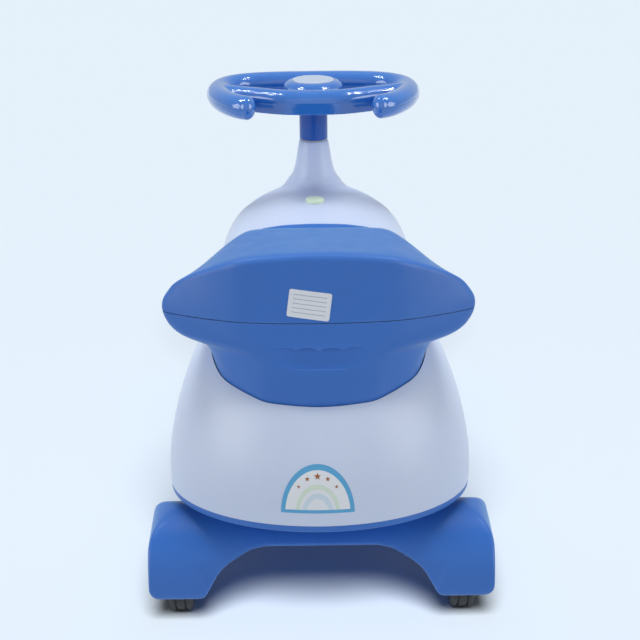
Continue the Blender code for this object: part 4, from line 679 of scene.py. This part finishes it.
# For each wheel its middle, and how far its boss reaches inwards and outwards.
wheels = [("rear_wheel_left", -0.133, AXLE_Y, 0.021, 0.025),
          ("rear_wheel_right", 0.133, AXLE_Y, 0.021, 0.025),
          ("front_wheel_left", -0.045, 0.165, 0.0155, 0.015),
          ("front_wheel_right", 0.045, 0.165, 0.0155, 0.015)]
for body, x, y, inner, outer in wheels:
    turn = "X" if x > 0 else "-X"
    centre = (x, y, AXLE_Z)
    tread = spun(body + "_tread", rounded(tread_section), centre, turn)
    hub = spun(body + "_disc", rounded([
        (HUB_BORE, -inner, 0), (HUB_BOSS, -inner, HUB_EDGE),
        (HUB_BOSS, -HUB_DISC_HALF, HUB_FILLET), (HUB_DISC, -HUB_DISC_HALF, HUB_FILLET),
        (HUB_RIM_INSIDE, -TREAD_HALF, HUB_EDGE), (HUB_RIM, -TREAD_HALF, HUB_EDGE),
        (HUB_RIM, TREAD_HALF, HUB_EDGE), (HUB_RIM_INSIDE, TREAD_HALF, HUB_EDGE),
        (HUB_DISC, HUB_DISC_HALF, HUB_FILLET), (HUB_BOSS, HUB_DISC_HALF, HUB_FILLET),
        (HUB_BOSS, outer, HUB_EDGE), (HUB_BORE, outer, 0)]), centre, turn)
    for k in range(6):
        angle = math.radians(60 * k + 30)
        only()
        bpy.ops.mesh.primitive_cylinder_add(
            vertices=40, radius=HOLE_RADIUS, depth=0.03, rotation=(0, math.pi / 2, 0),
            location=(x, y + HOLE_CIRCLE * math.cos(angle), AXLE_Z + HOLE_CIRCLE * math.sin(angle)))
        cut(hub, added("lightening_hole"))
    modify(hub, "BEVEL", width=0.0005, segments=2, limit_method="ANGLE",
           angle_limit=math.radians(50))
    fit(tread, tread_rubber, "black_tyre", body, body + "_tyre")
    fit(hub, hub_plastic, "black_plastic", body, body + "_hub")

# Front carrier and nose wheels
# Black polypropylene mouldings under the nose: the swivelling carrier that holds the front
# axle, and the block with two small wheels that catch the car when it tips. The CAD forms
# are kept, with the softened edges of a moulding.
for node, body, width in (("front_wheel_bracket", "steering", 0.0012),
                          ("nose_wheel_block", "car_body", 0.0012),
                          ("nose_wheel_left", "nose_wheel_left", 0.0010),
                          ("nose_wheel_right", "nose_wheel_right", 0.0010)):
    moulding = copied(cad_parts[node], node + "_moulding")
    moulding.parent = None
    moulding.matrix_world = Matrix.Identity(4)
    moulding.hide_render = False
    weld(moulding)
    modify(moulding, "BEVEL", width=width, segments=3, limit_method="ANGLE",
           angle_limit=math.radians(40))
    fit(moulding, hub_plastic, "black_plastic", body, node)

# Column sleeve
# A plain blue tube over the steering shaft that fills the space between the neck's bush and
# the underside of the steering wheel.
SLEEVE_RADIUS = 0.016
SLEEVE_BORE = 0.0086
SLEEVE_LOW = 0.3446
SLEEVE_HIGH = 0.3862
sleeve = spun("column_tube", rounded([
    (SLEEVE_BORE, SLEEVE_LOW, 0.0004), (SLEEVE_RADIUS, SLEEVE_LOW, 0.0008),
    (SLEEVE_RADIUS, SLEEVE_HIGH, 0.0004), (SLEEVE_BORE, SLEEVE_HIGH, 0.0004)]), (0, NECK_AXIS_Y, 0))
# Painted shade: the sleeve's blue is darker than the other blue mouldings' to stand for the shade
# under the steering wheel.
shaded_sleeve_blue, tree, shader = finish("deep_blue_moulded_polypropylene", Roughness=0.30, IOR=1.49)
clouded(tree, shader, 80.0, 3.0, "1C55AC", "225FB8")
fit(sleeve, shaded_sleeve_blue, "blue_plastic", "steering", "column_sleeve")

# Steering wheel
# Two polished ABS halves screwed together round the shaft's nut: a rim of 27 mm tube that
# ends in two horns, a crossbar that is rounder above than below, and a stepped hub.
WHEEL_PLANE = 0.400
TUBE = 0.0135
BAR_RADIUS = 0.0131
HALF_GAP = 0.00006
CAP_WELL = 0.0240
CAP_FLOOR = 0.3987
SHAFT_BORE = 0.0083
HUB_SCREW = 0.0206
STEERING_HALF = 0.120
REACH = STEERING_HALF - TUBE
rim_path = [(0.0, 0.0445), (REACH * 0.42, 0.0445), (REACH * 0.80, 0.037), (REACH * 1.005, 0.011),
            (REACH * 1.015, -0.022), (REACH * 0.93, -0.056), (REACH * 0.80, -0.080),
            (REACH * 0.70, -0.089), (REACH * 0.60, -0.090)]
bar_path = [(0.0, -0.061), (REACH * 0.30, -0.060), (REACH * 0.55, -0.045), (REACH * 0.80, -0.032),
            (REACH * 1.00, -0.024), (REACH * 1.16, -0.017)]


def tube(name, half, radius):
    """A round bar along a smooth path that is mirrored at the middle of the car."""
    path = [(-x, y) for x, y in half[:0:-1]] + half
    only()
    bpy.ops.curve.primitive_nurbs_path_add()
    piece = added(name)
    spline = piece.data.splines[0]
    spline.points.add(len(path) - len(spline.points))
    for point, (x, y) in zip(spline.points, path):
        point.co = (x, NECK_AXIS_Y + y, WHEEL_PLANE, 1.0)
    spline.order_u = 4
    spline.use_endpoint_u = False
    spline.resolution_u = 12
    piece.data.bevel_depth = radius
    piece.data.bevel_resolution = 8
    piece.data.use_fill_caps = True
    bpy.ops.object.convert(target="MESH")
    return bpy.context.object


rim = tube("steering_rim", rim_path, TUBE)
bar = tube("steering_crossbar", bar_path, BAR_RADIUS)
parts = [rim, bar]
for side in (-1, 1):
    only()
    bpy.ops.mesh.primitive_uv_sphere_add(
        segments=40, ring_count=24, radius=TUBE, scale=(0.75, 1, 1),
        location=(side * REACH * 0.69, NECK_AXIS_Y - 0.0885, WHEEL_PLANE))
    parts.append(added("horn_end"))

# Below its seam the crossbar is not round but has upright faces, down to a softened edge.
BAND_HALF = 0.0128
centre_line = curve([(-x, y) for x, y in bar_path[:0:-1]] + bar_path, 12)
band = []
for offset in (-BAND_HALF, BAND_HALF):
    edge = []
    for i in range(1, len(centre_line) - 1):
        along = (centre_line[i + 1] - centre_line[i - 1]).normalized()
        edge.append((centre_line[i].x - along.y * offset,
                     NECK_AXIS_Y + centre_line[i].y + along.x * offset))
    band += edge if offset < 0 else edge[::-1]
parts.append(prism("crossbar_band", band, WHEEL_PLANE - BAND_HALF, WHEEL_PLANE - 0.0004, "Z"))
web = prism("hub_web", rounded([
    (-0.028, -0.056, 0), (0.028, -0.056, 0), (0.028, 0.040, 0), (-0.028, 0.040, 0)]),
    WHEEL_PLANE - 0.0115, WHEEL_PLANE + 0.0065, "Z")
web.data.transform(Matrix.Translation((0, NECK_AXIS_Y, 0)))
parts.append(web)
parts.append(spun("hub_boss", [
    (0.0, 0.3875), (0.0335, 0.3875), (0.0340, 0.3990), (0.0342, 0.4035), (0.0338, 0.4062),
    (0.0325, 0.4083), (0.0300, 0.4104), (0.0270, 0.4118), (0.0240, 0.4124), (0.0, 0.4124)],
    (0, NECK_AXIS_Y, 0)))
only(rim)
for piece in parts:
    piece.select_set(True)
bpy.ops.object.join()
modify(rim, "REMESH", mode="VOXEL", voxel_size=0.0009, adaptivity=0.0)
modify(rim, "SMOOTH", factor=0.5, iterations=9)

# The cap's well and the shaft's bore are cut after the smoothing, and stay crisp.
drilled(rim, (0, NECK_AXIS_Y), CAP_WELL, CAP_FLOOR, 0.43, steps=96)
drilled(rim, (0, NECK_AXIS_Y), SHAFT_BORE, 0.37, 0.42)
for side in (-1, 1):
    for end in (-1, 1):
        drilled(rim, (side * HUB_SCREW, NECK_AXIS_Y + end * HUB_SCREW), SCREW_HOLE, 0.37, 0.4060,
                steps=20)
upper_half = copied(rim, "steering_upper_half")
lower_half = rim
lower_half.name = "steering_lower_half"
for half, low, high in ((upper_half, 0.30, WHEEL_PLANE + HALF_GAP),
                        (lower_half, WHEEL_PLANE - HALF_GAP, 0.50)):
    only()
    bpy.ops.mesh.primitive_cube_add(size=1, location=(0, NECK_AXIS_Y, (low + high) / 2),
                                    scale=(0.4, 0.4, high - low))
    cut(half, added("half_block"))

# Polished blue ABS: a clear, hard gloss with the slight waviness of thick moulded walls.
gloss_abs, tree, shader = finish("blue_polished_abs", Roughness=0.26, IOR=1.5, Coat_Weight=1.0,
                                 Coat_Roughness=0.03)
place = clouded(tree, shader, 30.0, 2.0, "2C72CC", "347CD8")[0]
scuffed(tree, shader, place, {"Scale": 110.0, "Detail": 5.0},
        {"From Min": 0.35, "From Max": 0.7, "To Min": 0.09, "To Max": 0.20})
wave = add(tree, "ShaderNodeTexNoise", {"Scale": 55.0, "Detail": 1.0},
           [("Vector", place.outputs["Object"])])
relief = add(tree, "ShaderNodeBump", {"Strength": 0.25, "Distance": 0.0012},
             [("Height", wave.outputs["Fac"])])
tree.links.new(relief.outputs["Normal"], shader.inputs["Normal"])
fit(upper_half, gloss_abs, "gloss_blue", "steering", "steering_wheel_upper")
fit(lower_half, gloss_abs, "gloss_blue", "steering", "steering_wheel_lower")

# Hub cap
# A flat pale grey disc of ABS that snaps into the hub and hides the shaft's nut.
cap = spun("hub_disc", rounded([
    (0.0, 0.4092, 0), (0.0237, 0.4092, 0.0003), (0.0237, 0.4130, 0.0007), (0.0, 0.4132, 0)]),
    (0, NECK_AXIS_Y, 0))
grey_abs, tree, shader = finish("pale_grey_moulded_abs", Roughness=0.42, IOR=1.54)
clouded(tree, shader, 120.0, 4.0, "B6C6DE", "C6D3E8")
fit(cap, grey_abs, "grey_plastic", "steering", "hub_cap")

# Shafts, nuts and screws
# Plated steel rods, nuts and pan-head screws, and natural nylon bushes. Their CAD solids are
# right as they are and only get their finish.
zinc_steel, tree, shader = finish("zinc_plated_steel", Metallic=1.0, Roughness=0.30,
                                  Base_Color=linear("BFC3C8"))
place = add(tree, "ShaderNodeTexCoord", {})
spangle = add(tree, "ShaderNodeTexVoronoi", {"Scale": 700.0}, [("Vector", place.outputs["Object"])])
tint = add(tree, "ShaderNodeMix", {"data_type": "RGBA", 6: linear("B2B6BB"), 7: linear("CCCFD2")},
           [("Factor", spangle.outputs["Distance"])])
tree.links.new(tint.outputs[2], shader.inputs["Base Color"])
scuffed(tree, shader, place, {"Scale": 150.0, "Detail": 4.0}, {"To Min": 0.22, "To Max": 0.42})

nylon, tree, shader = finish("natural_turned_nylon", Roughness=0.45, IOR=1.53,
                             Subsurface_Weight=0.15, Subsurface_Scale=0.003)
clouded(tree, shader, 150.0, 3.0, "D2D0C2", "E2E0D6")
for name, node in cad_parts.items():
    if node.hide_render:
        continue
    coat = nylon if name.endswith("_bush") else zinc_steel
    for k in range(len(node.material_slots)):
        node.material_slots[k].material = coat

# Stickers
# Two thin vinyl stickers behind: a plain ruled label on the seat's back, and a half-round one
# with a row of stars on the tail. Both follow the plastic they are stuck on.
LABEL_PLACE = (-0.0086, 0.3157)
LABEL_TURN = math.radians(7.7)
LABEL_HALF = (0.0192, 0.0125)
LABEL_CORNER = 0.002
BADGE_PLACE = (-0.0032, 0.1300)
BADGE_HALF_WIDTH = 0.0333
BADGE_HEIGHT = 0.0460
STICKER_FILM = 0.00012
STAND_Y = -0.45


def stuck(piece, under, lift):
    """Lays a flat piece that stands behind the car on the surface before it."""
    modify(piece, "SHRINKWRAP", target=under, wrap_method="PROJECT", use_project_y=True,
           use_negative_direction=False, use_positive_direction=True, offset=lift)
    modify(piece, "SOLIDIFY", thickness=STICKER_FILM, offset=0.0)
    weld(piece)


rows = []
steps_up = (0.0, 0.0001, 0.0004, 0.001, 0.002, 0.0045, 0.008, 0.0125)
heights = [k - LABEL_HALF[1] for k in steps_up]
heights += [-k for k in reversed(heights[:-1])]
for up in heights:
    into = max(0.0, abs(up) - LABEL_HALF[1] + LABEL_CORNER)
    half_row = LABEL_HALF[0] - LABEL_CORNER + math.sqrt(LABEL_CORNER ** 2 - into ** 2)
    row = []
    for k in range(-12, 13):
        along = half_row * k / 12
        row.append((LABEL_PLACE[0] + along * math.cos(LABEL_TURN) + up * math.sin(LABEL_TURN),
                    STAND_Y,
                    LABEL_PLACE[1] - along * math.sin(LABEL_TURN) + up * math.cos(LABEL_TURN)))
    rows.append(row)
label = net("ruled_label", rows)
stuck(label, saddle, 0.0002)
label_vinyl, tree, shader = finish("white_label_vinyl", Roughness=0.3)
place = add(tree, "ShaderNodeTexCoord", {})
flat = add(tree, "ShaderNodeMapping", {
    "vector_type": "TEXTURE", "Location": (LABEL_PLACE[0], 0.0, LABEL_PLACE[1]),
    "Rotation": (0.0, LABEL_TURN, 0.0)}, [("Vector", place.outputs["Object"])])
parts = add(tree, "ShaderNodeSeparateXYZ", {}, [("Vector", flat.outputs["Vector"])])
# Grey rules 0.56 mm thick and 4 mm apart, that stop 3 to 4 mm short of the label's edges.
RULES_PER_METRE = 250.0
RULE_HALF_SHARE = 0.07
ruled = parts.outputs["Z"]
for operation, value in (("MULTIPLY", RULES_PER_METRE), ("ADD", 0.5), ("FRACT", 0.0),
                         ("SUBTRACT", 0.5), ("ABSOLUTE", 0.0), ("LESS_THAN", RULE_HALF_SHARE)):
    ruled = add(tree, "ShaderNodeMath", {"operation": operation, 1: value},
                [(0, ruled)]).outputs[0]
for axis, limit in (("X", LABEL_HALF[0] - 0.004), ("Z", LABEL_HALF[1] - 0.003)):
    away = add(tree, "ShaderNodeMath", {"operation": "ABSOLUTE"}, [(0, parts.outputs[axis])])
    inside = add(tree, "ShaderNodeMath", {"operation": "LESS_THAN", 1: limit},
                 [(0, away.outputs[0])])
    ruled = add(tree, "ShaderNodeMath", {"operation": "MULTIPLY"},
                [(0, ruled), (1, inside.outputs[0])]).outputs[0]
ink = add(tree, "ShaderNodeMix", {"data_type": "RGBA", 6: linear("E2E8F2"), 7: linear("97A2B4")},
          [("Factor", ruled)])
tree.links.new(ink.outputs[2], shader.inputs["Base Color"])
label.data.materials.append(label_vinyl)
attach(label, "car_body")

rows = []
for k in range(25):
    angle = math.pi / 2 * k / 24
    half_row = BADGE_HALF_WIDTH * max(math.cos(angle), 0.002)
    height = BADGE_PLACE[1] + BADGE_HEIGHT * math.sin(angle)
    rows.append([(BADGE_PLACE[0] + half_row * n / 16, STAND_Y, height) for n in range(-16, 17)])
badge = net("half_round_sticker", rows)
stuck(badge, body_shell, 0.0002)
badge_vinyl, tree, shader = finish("printed_sticker_vinyl", Roughness=0.3)
place = add(tree, "ShaderNodeTexCoord", {})
flat = add(tree, "ShaderNodeMapping", {
    "vector_type": "TEXTURE", "Location": (BADGE_PLACE[0], 0.0, BADGE_PLACE[1]),
    "Scale": (BADGE_HALF_WIDTH, 1000.0, BADGE_HEIGHT)}, [("Vector", place.outputs["Object"])])
distance = add(tree, "ShaderNodeVectorMath", {"operation": "LENGTH"}, [(0, flat.outputs["Vector"])])
# Rings of plain print, from the middle out: a pale field, two soft bands and the border,
# which also runs along the foot.
parts = add(tree, "ShaderNodeSeparateXYZ", {}, [("Vector", flat.outputs["Vector"])])
foot = add(tree, "ShaderNodeMath", {"operation": "LESS_THAN", 1: 0.07},
           [(0, parts.outputs["Z"])])
outward = add(tree, "ShaderNodeMath", {"operation": "MAXIMUM"},
              [(0, foot.outputs[0]), (1, distance.outputs["Value"])])
rings = add(tree, "ShaderNodeValToRGB", {}, [("Fac", outward.outputs[0])])
ramp = rings.color_ramp
ramp.interpolation = "CONSTANT"
ramp.elements[0].color = linear("E6EBF4")
ramp.elements[1].position = 0.30
ramp.elements[1].color = linear("CFE0F0")
for position, code in ((0.42, "E6EBF4"), (0.50, "D5E6DA"), (0.60, "E8EDF5"), (0.88, "58A9DC")):
    ramp.elements.new(position).color = linear(code)
tree.links.new(rings.outputs["Color"], shader.inputs["Base Color"])
badge.data.materials.append(badge_vinyl)
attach(badge, "car_body")

STAR_WAIST = 0.42
STAR_RING = (0.74 * BADGE_HALF_WIDTH, 0.76 * BADGE_HEIGHT)
stars = None
for k, reach in enumerate((0.0018, 0.0024, 0.0034, 0.0024, 0.0018)):
    angle = math.radians(46 + 22 * k)
    middle = (BADGE_PLACE[0] + STAR_RING[0] * math.cos(angle),
              BADGE_PLACE[1] + STAR_RING[1] * math.sin(angle))
    points = []
    for n in range(10):
        radius = reach if n % 2 == 0 else reach * STAR_WAIST
        points.append((middle[0] + radius * math.sin(math.pi * n / 5),
                       middle[1] + radius * math.cos(math.pi * n / 5)))
    only()
    bpy.ops.mesh.primitive_circle_add(vertices=10, fill_type="NGON")
    star = added(f"printed_star_{k + 1}")
    for point, (across, up) in zip(star.data.vertices, points):
        point.co = (across, STAND_Y, up)
    stuck(star, badge, 0.0001)
    if stars:
        only(stars)
        star.select_set(True)
        bpy.ops.object.join()
    else:
        stars = star
star_ink = finish("orange_brown_ink", Roughness=0.4, Base_Color=linear("A0603C"))[0]
stars.data.materials.clear()
stars.data.materials.append(star_ink)
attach(stars, "car_body")

# Floor, backdrop and light
# A plain pale studio floor that runs out of the picture on all sides, broad soft lamps
# overhead, on either side and behind the camera, and two groups of small ceiling lamps that
# only glint in the glossy wheel.
FLOOR_COLOUR = (0.775, 0.872, 0.972, 1.0)
FLOOR_DEPTH_COLOUR = (0.50, 0.53, 0.55, 1.0)
SURROUND_COLOUR = (1.0, 0.95, 0.86, 1.0)
BACKDROP_COLOUR = (0.79, 0.888, 0.991, 1.0)
LAMP_RISE = 2.2
LAMPS_ASIDE = 1.15
only()
bpy.ops.mesh.primitive_plane_add(size=60, location=(0, 0, -0.0002))
floor = added("studio_floor")
pale_floor, tree, shader = finish("pale_studio_floor", Roughness=0.95, Specular_IOR_Level=0.0)


def seen(tree):
    """One for rays that show a thing as it looks, and nothing for the light it passes on."""
    path = add(tree, "ShaderNodeLightPath", {})
    direct = add(tree, "ShaderNodeMath", {"operation": "MAXIMUM"},
                 [(0, path.outputs["Is Camera Ray"]), (1, path.outputs["Is Glossy Ray"])])
    return add(tree, "ShaderNodeMath", {"operation": "MAXIMUM"},
               [(0, direct.outputs[0]), (1, path.outputs["Is Transmission Ray"])]).outputs[0]


paint = add(tree, "ShaderNodeMix", {"data_type": "RGBA", 6: FLOOR_DEPTH_COLOUR, 7: FLOOR_COLOUR},
            [("Factor", seen(tree))])
tree.links.new(paint.outputs[2], shader.inputs["Base Color"])
floor.data.materials.append(pale_floor)

world = bpy.data.worlds.new("studio")
bpy.context.scene.world = world
world.use_nodes = True
tree = world.node_tree
surround = tree.nodes["Background"]
surround.inputs["Color"].default_value = SURROUND_COLOUR
surround.inputs["Strength"].default_value = 0.11
backdrop = add(tree, "ShaderNodeBackground", {"Color": BACKDROP_COLOUR, "Strength": 0.65})
mixed = add(tree, "ShaderNodeMixShader", {}, [
    (0, seen(tree)), (1, surround.outputs["Background"]), (2, backdrop.outputs["Background"])])
tree.links.new(mixed.outputs["Shader"], tree.nodes["World Output"].inputs["Surface"])

# Each broad lamp's name, the way to it, its strength and how many degrees it fills.
for name, direction, energy, spread in (
        ("overhead_lamp", (0.0, 0.21, 1.0), 2.35, 35),
        ("floor_lamp", (0.0, -0.9, 1.0), 3.80, 25),
        ("camera_lamp", (0.0, -0.94, 0.34), 0.18, 50),
        ("left_lamp", (-1.0, -0.45, 0.28), 1.25, 40),
        ("right_lamp", (1.0, -0.45, 0.28), 1.25, 40)):
    only()
    bpy.ops.object.light_add(type="SUN")
    lamp = bpy.context.object
    lamp.name = name
    lamp.rotation_euler = Vector(direction).to_track_quat("Z", "Y").to_euler()
    lamp.data.energy = energy
    lamp.data.angle = math.radians(spread)

# The floor has only its own lamp, so that the object's shadow on it is a single soft one that
# falls inwards, and the other lamps have only the object.
for state, names in (("INCLUDE", ("floor_lamp",)),
                     ("EXCLUDE", ("overhead_lamp", "camera_lamp", "left_lamp", "right_lamp"))):
    lit = bpy.data.collections.new("floor_" + state.lower())
    lit.objects.link(floor)
    lit.collection_objects[0].light_linking.link_state = state
    for name in names:
        bpy.data.objects[name].light_linking.receiver_collection = lit
bpy.data.objects["overhead_lamp"].visible_glossy = False

# The ceiling lamps hang in two loose groups and all face the steering wheel.
group = ((-0.30, 0.08), (-0.13, -0.24), (-0.04, 0.20), (0.12, -0.06), (0.24, 0.24), (0.31, -0.20))
for side, tag in ((-1, "left"), (1, "right")):
    for number, (across, along) in enumerate(group, 1):
        away = Vector((side * LAMPS_ASIDE + across, along, LAMP_RISE))
        only()
        bpy.ops.object.light_add(
            type="AREA", location=(away.x, NECK_AXIS_Y + along, WHEEL_PLANE + LAMP_RISE))
        lamp = bpy.context.object
        lamp.name = f"ceiling_lamp_{number}_{tag}"
        lamp.rotation_euler = away.to_track_quat("Z", "Y").to_euler()
        lamp.data.shape = "DISK"
        lamp.data.size = 0.10
        lamp.data.energy = 1.8
        lamp.visible_diffuse = False

# Camera
# Where the photograph was taken from, worked out from the wheels' ground contacts, the level
# steering wheel and the body's symmetry. The focal length is in the picture's own pixels.
YAW = 0.00848942
PITCH = 0.3272850
ROLL = 0.01008112
CAMERA_PLACE = (-0.0128, -1.9186, 0.8434)
FOCAL_LENGTH = 1889.78
PICTURE_WIDTH = 640
SENSOR = 36.0
forward = Vector((math.sin(YAW) * math.cos(PITCH), math.cos(YAW) * math.cos(PITCH),
                  -math.sin(PITCH)))
right = Vector((math.cos(YAW), -math.sin(YAW), 0.0))
up = right.cross(forward)
across = right * math.cos(ROLL) - up * math.sin(ROLL)
upright = right * math.sin(ROLL) + up * math.cos(ROLL)
only()
bpy.ops.object.camera_add()
camera = bpy.context.object
camera.name = "photograph_camera"
camera.data.sensor_width = SENSOR
camera.data.lens = FOCAL_LENGTH / PICTURE_WIDTH * SENSOR
camera.data.clip_start = 0.05
axes = Matrix((across, upright, -forward)).transposed().to_4x4()
camera.matrix_world = Matrix.Translation(CAMERA_PLACE) @ axes
bpy.context.scene.camera = camera
bpy.context.scene.view_settings.view_transform = "Standard"
